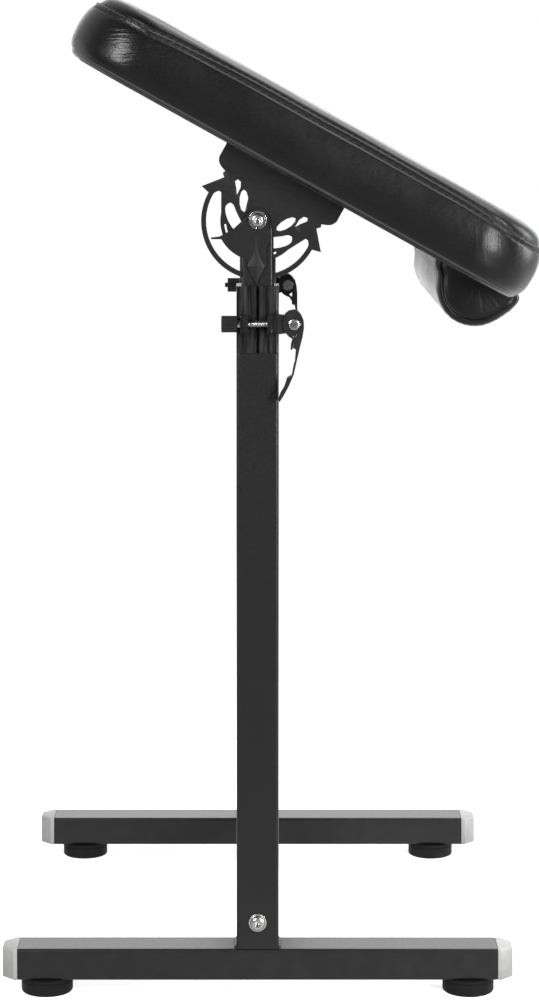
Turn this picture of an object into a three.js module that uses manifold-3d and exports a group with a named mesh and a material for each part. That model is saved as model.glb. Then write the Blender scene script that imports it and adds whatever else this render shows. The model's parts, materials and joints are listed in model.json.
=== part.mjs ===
// Armrest on two telescopic posts: foot rails, clamped masts, tilt plates and a padded top with a bolster.
// Millimetres, +Z up. +X is the pad's low end, -Y is the front, the side that has the scale plate.
import * as THREE from "three";
import { mergeVertices } from "three/addons/utils/BufferGeometryUtils.js";
import Module from "manifold-3d";

const wasm = await Module();
wasm.setup();

// Square tubes of the base
const postSpacing = 465;
const postSize = 40;
const postLength = 567.2;
const railLength = 456;
const railHeight = 30;
const baseWall = 2;
const tubeCorner = 3;
const weldLeg = 3;
const crossbarSize = 40;
const crossbarGap = 6;

// End caps and feet
const capLength = 15;
const capChamfer = 12;
const capBevel = 2;
const capStudMargin = 5;
const footHeight = 15;
const footRadius = 25.2;
const footTaper = 0.6;
const footLip = 1.5;
const footInset = 27;
const rearFootInset = 33.8;
const footStudRadius = 4;
const footStudLength = 12;

// Bolted joint between a post and the crossbar
const frameBoltRadius = 4;
const frameHeadRadius = 6.8;
const frameHeadHeight = 4.4;
const frameSocketRadius = 2.9;
const boltHeadShares = [[1, 0], [1, 0.35], [0.88, 0.75], [0.65, 1], [0, 1]];
const boltSocketShare = 0.6;
const frameWasherRadius = 8.5;
const frameWasherThickness = 1.6;
const plugThickness = 5;
const plugNutRadius = 7.2;
const plugNutLength = 7;

// Collar on the post's top, and the clamp across its ears
const collarHeight = 63;
const collarSpigotLength = 40;
const slitWidth = 2.4;
const earReach = 15;
const earHeight = 16.6;
const earWidth = 32.8;
const earCorner = 2;
const earWindow = 18.4;
const clampDrop = 35;
const clampBoltRadius = 3;
const clampBoltTip = 4;
const barrelRadius = 5.8;
const barrelOffset = 14;
const barrelSlotWidth = 2;
const barrelSlotDepth = 1;
const seatHeight = 19.2;
const seatShares = [[0, 1], [0.49, 0.9], [0.82, 0.62]];
const knobLength = 14.6;
const knobRadius = 7.8;
const knobGrooveDepth = 0.8;
const knobGrooves = 16;
const knobGap = 3;
const knobBoltDepth = 10;
const shoulderRadius = 3.5;

// Clamp lever; its outline is in shares of the reach, from the barrel nut's axis, hanging down
const leverReach = 75;
const leverWidth = 13.6;
const leverForkGap = 9;
const leverForkShare = 0.2;
const leverForkFrom = -6;
const leverForkTo = 246;
const rearLeverTurn = 14;
const leverShares = [
  [-0.136, 0.012], [-0.133, 0.07], [-0.11, 0.128], [-0.068, 0.164], [0, 0.18], [0.047, 0.164],
  [0.089, 0.117], [0.12, 0.044], [0.123, -0.04], [0.105, -0.155], [0.068, -0.301], [0.037, -0.439],
  [-0.005, -0.627], [-0.068, -0.773], [-0.131, -0.889], [-0.18, -0.965], [-0.196, -0.945],
  [-0.168, -0.863], [-0.12, -0.784], [-0.084, -0.669], [-0.068, -0.659], [-0.027, -0.637],
  [-0.005, -0.512], [0.011, -0.459], [0.024, -0.312], [-0.013, -0.292], [-0.003, -0.239],
  [-0.027, -0.176], [-0.068, -0.149], [-0.111, -0.1], [-0.136, -0.035],
];
const leverHoleShares = [[-0.02, -0.136], [0.014, -0.19], [0.034, -0.12]];

// Mast that slides in the post
const mastSize = 30;
const mastWall = 2;
const mastLength = 480;
const mastTopRadius = 11;
const mastShoulderDrop = 16;
const mastSlotMargin = 2;
const guideHeadLength = 12;
const guideSpigotLength = 20;
const ringMargin = 3.7;

// Tilt joint
const padTilt = 29.05;
const pivotBoltRadius = 4;
const pivotHeadRadius = 6.6;
const pivotHeadHeight = 5;
const pivotSocketRadius = 3;
const pivotWasherRadius = 8.5;
const pivotWasherThickness = 2;
const pivotWasherSplit = 1.4;
const pivotBoltTail = 2;
const lockNutRadius = 7.5;
const lockNutLength = 8;
const spacerRadius = 7;

// Index plate on the front mast; its outline is in shares of the disc's radius, from the pivot
const indexThickness = 2;
const indexTopRadius = 10.5;
const indexTopFrom = -30;
const indexTopTo = 160;
const indexReach = 38.6;
const indexPointerReach = 47;
const indexPointerWidth = 1.7;
const indexPointerAngle = 201.7;
const indexSectorEnd = 244;
const indexTipDrop = 61.6;
const indexWaistShares = [[-0.62, -0.24]];
const indexTailShares = [[-0.26, -1.02], [-0.04, 0], [0.22, -1.08], [0.2, -0.78], [0.336, -0.35]];

// Tilt plates; the scale plate has a ring round a disc, with petals cut in the disc
const plateThickness = 3;
const plateShift = 2.8;
const plateTop = 49.6;
const discRadius = 37.5;
const ringInnerRadius = 50.8;
const ringOuterRadius = 55.5;
const slotEndShares = [0.61, 0.81, 0.985];
const slotEndAngles = [7.5, 7, 2.5];
const slotTaperAngle = -17.6;
const thornReach = 64;
const thornRise = 2;
const thornRoot = 49.5;
const thornRootRise = 19.5;
const barbReach = 52.6;
const barbRise = 22.3;
const flangeHalfLength = 63;
const flangeWidth = 48;
const lobeShares = [[0.82, 0.4], [0.9, 0.43], [0.965, 0.475], [1, 0.545]];
const plainPlateRadius = 10.5;
const petalShares = [
  [0.88, 0.04], [0.94, -0.08], [0.86, -0.24], [0.67, -0.41], [0.43, -0.52],
  [0.25, -0.5], [0.32, -0.32], [0.49, -0.19], [0.66, -0.07], [0.78, 0.03],
];
const leafCentreShares = [0.603, 0.243];
const leafRadiusShares = [0.28, 0.11];
const leafAngle = 61;
const dropShares = [[0.83, 0.29], [0.93, 0.44], [1.03, 0.56], [1.0, 0.64], [0.9, 0.62], [0.84, 0.5]];
const sliverRadius = 33;
const sliverHalfWidth = 0.9;
const sliverFrom = 312;
const sliverTo = 326;

// Bracket screws
const bracketScrewRadius = 3;
const bracketHeadRadius = 6;
const bracketHeadHeight = 3.4;
const bracketHeadShares = [[0.7, 0], [1, 0.5], [1, 1]];
const bracketDepthShare = 0.85;
const bracketScrewSpacing = 90;

// Pad; its side profile is in shares of the edge's roll, inwards, and of the edge's height
const padLength = 490;
const padWidth = 600;
const padCorner = 65;
const padShift = 8.5;
const padEdgeHeight = 67.4;
const padEdgeRoll = 34;
const padEndShare = 1.4;
const padCrown = 2;
const padDrawIn = 3;
const padSideShares = [
  [0.235, 0], [0.13, 0.07], [0.06, 0.145], [0.01, 0.24], [0, 0.32], [0, 0.46], [0.035, 0.6],
  [0.085, 0.69], [0.11, 0.725], [0.165, 0.736], [0.13, 0.747], [0.175, 0.798], [0.235, 0.81],
  [0.2, 0.822], [0.27, 0.88], [0.4, 0.942], [0.65, 0.984], [1, 1],
];
const padCrownShares = [0.9, 0.7, 0.45, 0.2];
const boardThickness = 12;
const boardInset = 20;
const dustCoverThickness = 0.8;
const dustCoverInset = 14;

// Bolster under the pad's low end; its section is in shares of its width and depth
const bolsterInset = 103;
const bolsterWidth = 89;
const bolsterDepth = 44.6;
const bolsterOverhang = 4;
const bolsterEndRoll = 9;
const bolsterShares = [
  [0, 0], [0.011, 0.13], [0.085, 0.29], [0.183, 0.63], [0.301, 0.86], [0.454, 0.985],
  [0.58, 0.985], [0.687, 0.93], [0.785, 0.81], [0.89, 0.57], [0.957, 0.3], [1, 0],
];
const bolsterRollShares = [[0, 0.8], [0.2, 0.9], [0.5, 0.965], [1, 1]];
const bolsterBoardThickness = 12;
const bolsterBoardInset = 14;
const bolsterBoardShortening = 12;
const bolsterScrewRadius = 2.5;
const bolsterHeadRadius = 5;
const bolsterHeadHeight = 3;
const bolsterHeadShare = 0.8;
const bolsterDepthShare = 0.88;
const bolsterScrewSpacing = 240;

// Clearances, and how far a cut runs past what it cuts
const slideClearance = 0.3;
const seatClearance = 0.3;
const pinClearance = 0.2;
const holeClearance = 0.4;
const overrun = 5;

// Counts of flat faces on round and padded pieces
const roundFaces = 24;
const smallFaces = 16;
const hexFaces = 6;
const indexTopFaces = 10;
const padCornerSteps = 6;
const padSideSteps = 6;
const lobeSteps = 7;

// Heights of the base and the joints
const railTop = footHeight + railHeight;
const postTop = railTop + postLength;
const collarTop = postTop + collarHeight;
const clampHeight = collarTop - clampDrop;
const crossbarHeight = railTop + crossbarGap + crossbarSize / 2;
const pivotHeight = collarTop + ringOuterRadius + plateShift + ringMargin;
const mastTop = pivotHeight + mastTopRadius;
const mastBottom = mastTop - mastLength;

// Places across one side, from the post's middle; outwards is negative
const postFace = postSize / 2;
const mastFace = mastSize / 2;
const earFace = earWidth / 2;
const earRoot = -(postFace + mastFace) / 2;
const clampAxis = -postFace - earReach / 2;
const barrelPlace = postFace + barrelOffset;
const plateOuter = -mastFace + mastWall + slideClearance;
const plateInner = plateOuter + plateThickness;
const collarBore = mastSize + slideClearance * 2;
const postBore = postSize - baseWall * 2;
const capSpigotLength = footInset - footStudRadius - capStudMargin;
const leverForkDepth = leverReach * leverForkShare;
const seatWidth = leverForkGap - seatClearance * 2;

// Heights above the pivot, square to the pad
const dustCoverRise = plateTop + seatClearance;
const boardRise = dustCoverRise + dustCoverThickness + seatClearance;
const pocketRise = boardRise + boardThickness + seatClearance;
const bracketScrewTip = boardRise + boardThickness * bracketDepthShare;
const bolsterTop = plateTop;
const bolsterLength = padWidth - bolsterInset * 2;
const bolsterEnd = padShift + padLength / 2 + bolsterOverhang;
const bolsterScrewTop = boardRise + boardThickness - seatClearance;
const bolsterScrewTip = bolsterTop - bolsterBoardThickness * bolsterDepthShare;

function finish(color, roughness, metalness) {
  return new THREE.MeshStandardMaterial({ color, roughness, metalness, flatShading: true });
}

const blackSteel = finish(0x2b2b2c, 0.55, 0.2);
const plateSteel = finish(0x1e1e1f, 0.45, 0.2);
const zincSteel = finish(0xc6c8ca, 0.25, 1);
const greyPlastic = finish(0xb9bbbd, 0.5, 0);
const glossPlastic = finish(0x141415, 0.2, 0);
const mattPlastic = finish(0x1b1b1c, 0.6, 0);
const rubber = finish(0x1c1c1c, 0.9, 0);
const leather = finish(0x151516, 0.35, 0);
const cloth = finish(0x202021, 0.95, 0);
const plywood = finish(0xb48a5a, 0.8, 0);

// Solids

// A closed geometry as a solid that can be joined and cut
function solid(geometry) {
  const bare = geometry.clone();
  bare.deleteAttribute("normal");
  bare.deleteAttribute("uv");
  const merged = mergeVertices(bare);
  return new wasm.Manifold(
    new wasm.Mesh({
      numProp: 3,
      vertProperties: merged.attributes.position.array,
      triVerts: new Uint32Array(merged.index.array),
    }),
  );
}

function geometryOf(body) {
  const mesh = body.getMesh();
  const geometry = new THREE.BufferGeometry();
  geometry.setAttribute("position", new THREE.BufferAttribute(new Float32Array(mesh.vertProperties), 3));
  geometry.setIndex(new THREE.BufferAttribute(new Uint32Array(mesh.triVerts), 1));
  return geometry;
}

function part(name, body, material) {
  const mesh = new THREE.Mesh(geometryOf(body), material);
  mesh.name = name;
  return mesh;
}

// A box between two corners
function box(low, high) {
  const geometry = new THREE.BoxGeometry(high[0] - low[0], high[1] - low[1], high[2] - low[2]);
  geometry.translate((high[0] + low[0]) / 2, (high[1] + low[1]) / 2, (high[2] + low[2]) / 2);
  return solid(geometry);
}

// Round rods along each axis; the first pair is the range along it, the second the place across it
function rodX(radius, [from, to], [y, z], faces = smallFaces) {
  const geometry = new THREE.CylinderGeometry(radius, radius, to - from, faces);
  geometry.rotateZ(-Math.PI / 2);
  geometry.translate((from + to) / 2, y, z);
  return solid(geometry);
}

function rodY(radius, [from, to], [x, z], faces = smallFaces) {
  const geometry = new THREE.CylinderGeometry(radius, radius, to - from, faces);
  geometry.translate(x, (from + to) / 2, z);
  return solid(geometry);
}

function rodZ(radius, [from, to], [x, y], faces = smallFaces) {
  const geometry = new THREE.CylinderGeometry(radius, radius, to - from, faces);
  geometry.rotateX(Math.PI / 2);
  geometry.translate(x, y, (from + to) / 2);
  return solid(geometry);
}

// A profile of radius and height turned about the Z axis
function turned(profile, faces = roundFaces) {
  const points = profile.map(([radius, height]) => new THREE.Vector2(radius, height));
  return solid(new THREE.LatheGeometry(points, faces).rotateX(Math.PI / 2));
}

// An outline in plan pushed along Z
function slab(shape, [from, to], curveSegments = 6) {
  const geometry = new THREE.ExtrudeGeometry(shape, { depth: to - from, bevelEnabled: false, curveSegments });
  geometry.translate(0, 0, from);
  return solid(geometry);
}

// An outline drawn in X and Z pushed along Y
function uprightSlab(shape, [from, to], curveSegments = 6) {
  const geometry = new THREE.ExtrudeGeometry(shape, { depth: to - from, bevelEnabled: false, curveSegments });
  geometry.rotateX(Math.PI / 2);
  geometry.translate(0, to, 0);
  return solid(geometry);
}

function roundedRectangle(width, height, radius) {
  const x = width / 2 - radius;
  const y = height / 2 - radius;
  const quarter = Math.PI / 2;
  const shape = new THREE.Shape();
  shape.absarc(x, -y, radius, -quarter, 0, false);
  shape.absarc(x, y, radius, 0, quarter, false);
  shape.absarc(-x, y, radius, quarter, quarter * 2, false);
  shape.absarc(-x, -y, radius, quarter * 2, quarter * 3, false);
  return shape;
}

function polygon(points) {
  return new THREE.Shape(points.map(([x, y]) => new THREE.Vector2(x, y)));
}

function scaled(shares, size) {
  return shares.map(([x, y]) => [x * size, y * size]);
}

// A square tube along Z, open at both ends
function squareTube(width, depth, wall, range) {
  const outside = slab(roundedRectangle(width, depth, tubeCorner), range, 3);
  const bore = roundedRectangle(width - wall * 2, depth - wall * 2, Math.max(tubeCorner - wall, wall / 2));
  return outside.subtract(slab(bore, [range[0] - overrun, range[1] + overrun], 2));
}

function alongX(body) {
  return solid(geometryOf(body).rotateY(Math.PI / 2));
}

function alongY(body) {
  return solid(geometryOf(body).rotateX(-Math.PI / 2));
}

// A closed skin over rings of equal count, with a fan on the first and the last ring
function loft(rings) {
  const count = rings[0].length;
  const points = rings.flat();
  const triangles = [];
  for (let ring = 0; ring < rings.length - 1; ring++) {
    for (let step = 0; step < count; step++) {
      const a = ring * count + step;
      const b = ring * count + ((step + 1) % count);
      triangles.push(a, b, b + count, a, b + count, a + count);
    }
  }
  for (const ring of [0, rings.length - 1]) {
    const centre = new THREE.Vector3();
    rings[ring].forEach((point) => centre.addScaledVector(point, 1 / count));
    points.push(centre);
    for (let step = 0; step < count; step++) {
      const a = ring * count + step;
      const b = ring * count + ((step + 1) % count);
      const edge = ring === 0 ? [b, a] : [a, b];
      triangles.push(...edge, points.length - 1);
    }
  }
  const geometry = new THREE.BufferGeometry().setFromPoints(points);
  geometry.setIndex(triangles);
  return solid(geometry);
}

// A bolt along +Y with a domed head and a hexagon socket; `face` is where its head bears
function socketBolt(centre, face, tip, { radius, headRadius, headHeight, socketRadius }) {
  const profile = boltHeadShares.map(([across, along]) => [across * headRadius, along * headHeight]);
  const dome = geometryOf(turned([[0, 0], ...profile])).rotateX(Math.PI / 2);
  const head = solid(dome.translate(centre[0], face, centre[1]));
  const shank = rodY(radius, [face - headHeight / 2, tip], centre);
  const socketEnd = face - headHeight * (1 - boltSocketShare);
  const socket = rodY(socketRadius, [face - headHeight - overrun, socketEnd], centre, hexFaces);
  return head.add(shank).subtract(socket);
}

// A flat ring round a Y axis
function washer(centre, [from, to], radius, bore) {
  const hole = rodY(bore, [from - overrun, to + overrun], centre);
  return rodY(radius, [from, to], centre, roundFaces).subtract(hole);
}

// Base of one side

function makeRail(inset) {
  const half = railLength / 2;
  let rail = alongX(squareTube(railHeight, postSize, baseWall, [-half, half]));
  rail = rail.translate([0, 0, footHeight + railHeight / 2]);
  for (const end of [-1, 1]) {
    const hole = rodZ(
      footStudRadius + holeClearance,
      [footHeight - overrun, footHeight + baseWall + overrun],
      [end * (half - inset), 0],
    );
    rail = rail.subtract(hole);
  }
  return rail;
}

// The cap that closes the rail's right end; its spigot fits in the rail
function makeCap() {
  const side = postFace - capBevel;
  const end = capLength - capBevel;
  const plan = polygon([
    [-overrun, -side],
    [capLength - capChamfer, -side],
    [end, capChamfer - postFace],
    [end, postFace - capChamfer],
    [capLength - capChamfer, side],
    [-overrun, side],
  ]);
  const geometry = new THREE.ExtrudeGeometry(plan, {
    depth: railHeight - capBevel * 2,
    bevelThickness: capBevel,
    bevelSize: capBevel,
    bevelSegments: 2,
  });
  geometry.translate(0, 0, footHeight + capBevel);
  const behind = box([-postSize, -postSize, 0], [0, postSize, railTop * 2]);
  const inner = postFace - baseWall - slideClearance;
  const spigot = box(
    [-capSpigotLength, -inner, footHeight + baseWall + slideClearance],
    [capLength / 3, inner, railTop - baseWall - slideClearance],
  );
  return solid(geometry).subtract(behind).add(spigot);
}

// A rubber foot with its stud, on the Z axis
function makeFoot() {
  const foot = footRadius - footTaper;
  return turned([
    [0, 0],
    [foot - footLip, 0],
    [foot, footLip],
    [footRadius - footLip / 2, footHeight - footLip * 2],
    [footRadius, footHeight - footLip],
    [footRadius, footHeight],
    [footStudRadius, footHeight],
    [footStudRadius, footHeight + footStudLength],
    [0, footHeight + footStudLength],
  ]);
}

// The post, with a weld bead on each side of its foot
function makePost() {
  const tube = squareTube(postSize, postSize, baseWall, [railTop, postTop]);
  const hole = rodY(frameBoltRadius + holeClearance, [-postSize, postSize], [0, crossbarHeight]);
  const bead = polygon([[-weldLeg / 3, 0], [weldLeg, 0], [0, weldLeg], [-weldLeg / 3, weldLeg]]);
  const half = postFace - tubeCorner;
  const right = uprightSlab(bead, [-half, half]).translate([postFace, 0, railTop]);
  return tube.add(right).add(right.mirror([1, 0, 0])).subtract(hole);
}

// Joint between the post and the crossbar

function makeCrossbar() {
  const half = postSpacing / 2 - postFace;
  const tube = squareTube(crossbarSize, crossbarSize, baseWall, [-half, half]);
  return alongY(tube).translate([0, 0, crossbarHeight]);
}

// The plate with a nut that is welded in the crossbar's end
function makeCrossbarPlug() {
  const half = crossbarSize / 2 - baseWall - slideClearance;
  const inner = postFace + plugThickness;
  const plate = box(
    [-half, postFace, crossbarHeight - half],
    [half, inner, crossbarHeight + half],
  );
  const nut = rodY(plugNutRadius, [postFace, inner + plugNutLength], [0, crossbarHeight], hexFaces);
  const hole = rodY(
    frameBoltRadius + pinClearance,
    [postFace - overrun, inner + plugNutLength + overrun],
    [0, crossbarHeight],
  );
  return plate.add(nut).subtract(hole);
}

function makeFrameBolt() {
  const bolt = {
    radius: frameBoltRadius,
    headRadius: frameHeadRadius,
    headHeight: frameHeadHeight,
    socketRadius: frameSocketRadius,
  };
  const tip = postFace + plugThickness + plugNutLength;
  return socketBolt([0, crossbarHeight], -postFace - frameWasherThickness, tip, bolt);
}

function makeFrameWasher() {
  const range = [-postFace - frameWasherThickness, -postFace];
  return washer([0, crossbarHeight], range, frameWasherRadius, frameBoltRadius + pinClearance);
}

// Collar and clamp of one side

// A split bush on the post's top; two ears hold the clamp bolt, and a spigot goes down into the post
function makeCollar() {
  const block = slab(roundedRectangle(postSize, postSize, tubeCorner), [postTop, collarTop], 3);
  const spigotSize = postBore - slideClearance * 2;
  const spigot = box(
    [-spigotSize / 2, -spigotSize / 2, postTop - collarSpigotLength],
    [spigotSize / 2, spigotSize / 2, postTop + overrun],
  );
  const earShape = roundedRectangle(earWidth, earHeight, earCorner);
  const ears = uprightSlab(earShape, [-postFace - earReach, earRoot], 2);
  const bore = slab(
    roundedRectangle(collarBore, collarBore, tubeCorner),
    [postTop - collarSpigotLength - overrun, collarTop + overrun],
    3,
  );
  const window = box(
    [-earWindow / 2, -postFace - earReach - overrun, clampHeight - earHeight],
    [earWindow / 2, -postFace, clampHeight + earHeight],
  );
  const slit = box(
    [-slitWidth / 2, -postFace - overrun, postTop],
    [slitWidth / 2, -mastFace + overrun, collarTop + overrun],
  );
  const boltHole = rodX(clampBoltRadius + holeClearance, [-postSize, postSize], [clampAxis, clampHeight]);
  return block
    .add(spigot)
    .add(ears.translate([0, 0, clampHeight]))
    .subtract(window)
    .subtract(bore)
    .subtract(slit)
    .subtract(boltHole);
}

// The clamp bolt, with a shoulder between the left ear and the knob
function makeClampBolt() {
  const knobFace = -earFace - knobGap;
  const range = [knobFace - knobBoltDepth, barrelPlace + clampBoltTip];
  const shoulder = rodX(shoulderRadius, [knobFace + slideClearance, -earFace], [clampAxis, clampHeight]);
  return rodX(clampBoltRadius, range, [clampAxis, clampHeight]).add(shoulder);
}

// The cross nut in the lever's eye, with a slot in its outer end
function makeBarrelNut() {
  const outer = clampAxis - leverWidth / 2;
  const nut = rodY(barrelRadius, [outer, clampAxis + leverWidth / 2], [barrelPlace, clampHeight], roundFaces);
  const hole = rodX(
    clampBoltRadius + pinClearance,
    [postFace, barrelPlace + clampBoltTip + pinClearance],
    [clampAxis, clampHeight],
  );
  const slot = box(
    [barrelPlace - barrelRadius, outer - overrun, clampHeight - barrelSlotWidth / 2],
    [barrelPlace + barrelRadius, outer + barrelSlotDepth, clampHeight + barrelSlotWidth / 2],
  );
  return nut.subtract(hole).subtract(slot);
}

// The block between the ear and the barrel nut; it narrows into the lever's fork
function makeClampSeat() {
  const reach = barrelPlace - earFace;
  const upper = seatShares.map(([along, up]) => [along * reach, (up * seatHeight) / 2]);
  const lower = upper.map(([along, up]) => [along, -up]).reverse();
  const across = [clampAxis - seatWidth / 2, clampAxis + seatWidth / 2];
  const block = uprightSlab(polygon([...upper, ...lower]), across).translate([earFace, 0, clampHeight]);
  const bore = barrelRadius + pinClearance;
  const cradle = rodY(bore, [-postSize * 2, 0], [barrelPlace, clampHeight], roundFaces);
  const hole = rodX(clampBoltRadius + pinClearance, [0, barrelPlace], [clampAxis, clampHeight]);
  return block.subtract(cradle).subtract(hole);
}

// The knob that sets the clamp's tension, with grooves round its grip
function makeKnob() {
  const points = [];
  for (let step = 0; step < knobGrooves * 2; step++) {
    const angle = (step * Math.PI) / knobGrooves;
    const radius = knobRadius - (step % 2) * knobGrooveDepth;
    points.push([radius * Math.cos(angle), radius * Math.sin(angle)]);
  }
  const face = -earFace - knobGap;
  const body = alongX(slab(polygon(points), [face - knobLength, face]));
  const range = [face - knobBoltDepth - seatClearance, face + overrun];
  const hole = rodX(clampBoltRadius + pinClearance, range, [clampAxis, clampHeight]);
  return body.translate([0, clampAxis, clampHeight]).subtract(hole);
}

// The lever hangs down beside the post, turned out by an angle; its fork turns round the barrel nut
function makeLever(turn) {
  const outline = polygon(scaled(leverShares, leverReach));
  outline.holes.push(polygon(scaled(leverHoleShares, leverReach)));
  const half = leverWidth / 2;
  const bore = rodY(barrelRadius + pinClearance, [-leverWidth, leverWidth], [0, 0], roundFaces);
  const sector = [[0, 0]];
  for (let step = 0; step <= hexFaces; step++) {
    const angle = THREE.MathUtils.degToRad(leverForkFrom + ((leverForkTo - leverForkFrom) * step) / hexFaces);
    sector.push([leverForkDepth * Math.cos(angle), leverForkDepth * Math.sin(angle)]);
  }
  const fork = uprightSlab(polygon(sector), [-leverForkGap / 2, leverForkGap / 2]);
  return uprightSlab(outline, [-half, half])
    .subtract(bore)
    .subtract(fork)
    .rotate([0, -turn, 0])
    .translate([barrelPlace, clampAxis, clampHeight]);
}

// Mast of one side

// The mast's top is rounded and slotted, so that the tilt plate turns inside it
function makeMast() {
  const tube = squareTube(mastSize, mastSize, mastWall, [mastBottom, mastTop]);
  const arch = new THREE.Shape();
  arch.moveTo(-mastSize, -mastShoulderDrop);
  arch.lineTo(-mastFace, -mastShoulderDrop);
  arch.lineTo(-mastTopRadius, 0);
  arch.absarc(0, 0, mastTopRadius, Math.PI, 0, true);
  arch.lineTo(mastFace, -mastShoulderDrop);
  arch.lineTo(mastSize, -mastShoulderDrop);
  arch.lineTo(mastSize, mastSize);
  arch.lineTo(-mastSize, mastSize);
  const waste = uprightSlab(arch, [-mastSize, mastSize], 10).translate([0, 0, pivotHeight]);
  const slot = box(
    [-mastSize, plateOuter - slideClearance, pivotHeight - thornReach - plateShift - mastSlotMargin],
    [mastSize, plateInner + slideClearance, mastTop + overrun],
  );
  const hole = rodY(pivotBoltRadius + pinClearance, [-mastSize, mastSize], [0, pivotHeight]);
  return tube.subtract(waste).subtract(slot).subtract(hole);
}

// The glide at the mast's lower end
function makeGuidePlug() {
  const head = postBore / 2 - slideClearance;
  const spigot = mastFace - mastWall - slideClearance;
  const block = box([-head, -head, mastBottom - guideHeadLength], [head, head, mastBottom]);
  return block.add(
    box([-spigot, -spigot, mastBottom - overrun], [spigot, spigot, mastBottom + guideSpigotLength]),
  );
}

// The index plate: a sector with a pointer on the left, a round top and a tail down the mast
function makeIndexPlate() {
  const turn = THREE.MathUtils.degToRad;
  const polar = (radius, angle) => [radius * Math.cos(turn(angle)), radius * Math.sin(turn(angle))];
  const points = [];
  for (let step = 0; step <= indexTopFaces; step++) {
    points.push(polar(indexTopRadius, indexTopFrom + ((indexTopTo - indexTopFrom) * step) / indexTopFaces));
  }
  const [pointerX, pointerZ] = polar(indexPointerReach, indexPointerAngle);
  const [rootX] = polar(indexReach, indexPointerAngle);
  const half = indexPointerWidth / 2;
  points.push(...scaled(indexWaistShares, discRadius), [rootX, pointerZ + indexPointerWidth]);
  points.push([pointerX, pointerZ + half], [pointerX, pointerZ - half]);
  const start = 180 + THREE.MathUtils.radToDeg(Math.asin((half - pointerZ) / indexReach));
  for (let step = 0; step <= hexFaces; step++) {
    points.push(polar(indexReach, start + ((indexSectorEnd - start) * step) / hexFaces));
  }
  const tail = scaled(indexTailShares, discRadius);
  tail[1][1] = -indexTipDrop;
  points.push(...tail);
  const plate = uprightSlab(polygon(points), [-mastFace - indexThickness, -mastFace]);
  const hole = rodY(pivotBoltRadius + pinClearance, [-mastSize, 0], [0, 0]);
  return plate.subtract(hole).translate([0, 0, pivotHeight]);
}

// The tube round the pivot bolt that takes its pull inside the mast
function makeSpacer() {
  const range = [plateInner + slideClearance, mastFace - mastWall];
  return washer([0, pivotHeight], range, spacerRadius, pivotBoltRadius + pinClearance);
}

function makeSpringWasher(face) {
  const ring = washer(
    [0, pivotHeight],
    [face - pivotWasherThickness, face],
    pivotWasherRadius,
    pivotBoltRadius + pinClearance,
  );
  const split = box(
    [-pivotWasherSplit / 2, face - mastSize, pivotHeight - pivotWasherRadius * 2],
    [pivotWasherSplit / 2, face + mastSize, pivotHeight],
  );
  return ring.subtract(split);
}

function makePivotBolt(face) {
  const bolt = {
    radius: pivotBoltRadius,
    headRadius: pivotHeadRadius,
    headHeight: pivotHeadHeight,
    socketRadius: pivotSocketRadius,
  };
  const tip = mastFace + lockNutLength + pivotBoltTail;
  return socketBolt([0, pivotHeight], face - pivotWasherThickness, tip, bolt);
}

function makeLockNut() {
  const nut = rodY(lockNutRadius, [mastFace, mastFace + lockNutLength], [0, pivotHeight], hexFaces);
  const hole = rodY(pivotBoltRadius + pinClearance, [0, mastSize * 2], [0, pivotHeight]);
  return nut.subtract(hole);
}

// Tilt plates, drawn square to the pad from the pivot

// The right half of the outline that both plates share, from the neck up to the flange
function lobePoints() {
  const curve = scaled(lobeShares, flangeHalfLength).map(([x, z]) => new THREE.Vector2(x, z));
  const lobe = new THREE.SplineCurve(curve).getPoints(lobeSteps).map(({ x, y }) => [x, y]);
  return [...lobe, [flangeHalfLength, plateTop - plateThickness / 2]];
}

function mirrored(points) {
  return [...points, ...points.map(([x, z]) => [-x, z]).reverse()];
}

// The holes on the right half of the disc
function discHoles() {
  const petal = new THREE.Path();
  const curve = scaled(petalShares, discRadius).map(([x, z]) => new THREE.Vector2(x, z));
  petal.setFromPoints(new THREE.SplineCurve([...curve, curve[0]]).getPoints(curve.length * 2));
  const leaf = new THREE.Path();
  const [leafX, leafZ] = leafCentreShares.map((share) => share * discRadius);
  const [long, short] = leafRadiusShares.map((share) => share * discRadius);
  leaf.absellipse(leafX, leafZ, long, short, 0, Math.PI * 2, false, THREE.MathUtils.degToRad(leafAngle));
  const drop = new THREE.Path(
    scaled(dropShares, discRadius).map(([x, z]) => new THREE.Vector2(x, z)),
  );
  const sliver = new THREE.Path();
  const from = THREE.MathUtils.degToRad(sliverFrom);
  const to = THREE.MathUtils.degToRad(sliverTo);
  sliver.absarc(0, 0, sliverRadius + sliverHalfWidth, from, to, false);
  sliver.absarc(0, 0, sliverRadius - sliverHalfWidth, to, from, true);
  return [petal, leaf, drop, sliver];
}

function makeFlange(range) {
  const low = plateTop - plateThickness;
  let flange = box([-flangeHalfLength, range[0], low], [flangeHalfLength, range[1], plateTop]);
  for (const place of bracketScrewPlaces()) {
    const hole = rodZ(bracketScrewRadius + holeClearance, [low - overrun, plateTop + overrun], place);
    flange = flange.subtract(hole);
  }
  return flange;
}

function bracketScrewPlaces() {
  const across = plateOuter + (flangeWidth + plateThickness) / 2;
  return [-1, 1].map((end) => [(end * bracketScrewSpacing) / 2, across]);
}

// The slot's right end, from the disc to the ring, in shares of the width between them
function slotEndPoints() {
  return slotEndShares.map((share, index) => {
    const radius = discRadius + share * (ringInnerRadius - discRadius);
    const angle = THREE.MathUtils.degToRad(slotEndAngles[index]);
    return [radius * Math.cos(angle), radius * Math.sin(angle)];
  });
}

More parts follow.
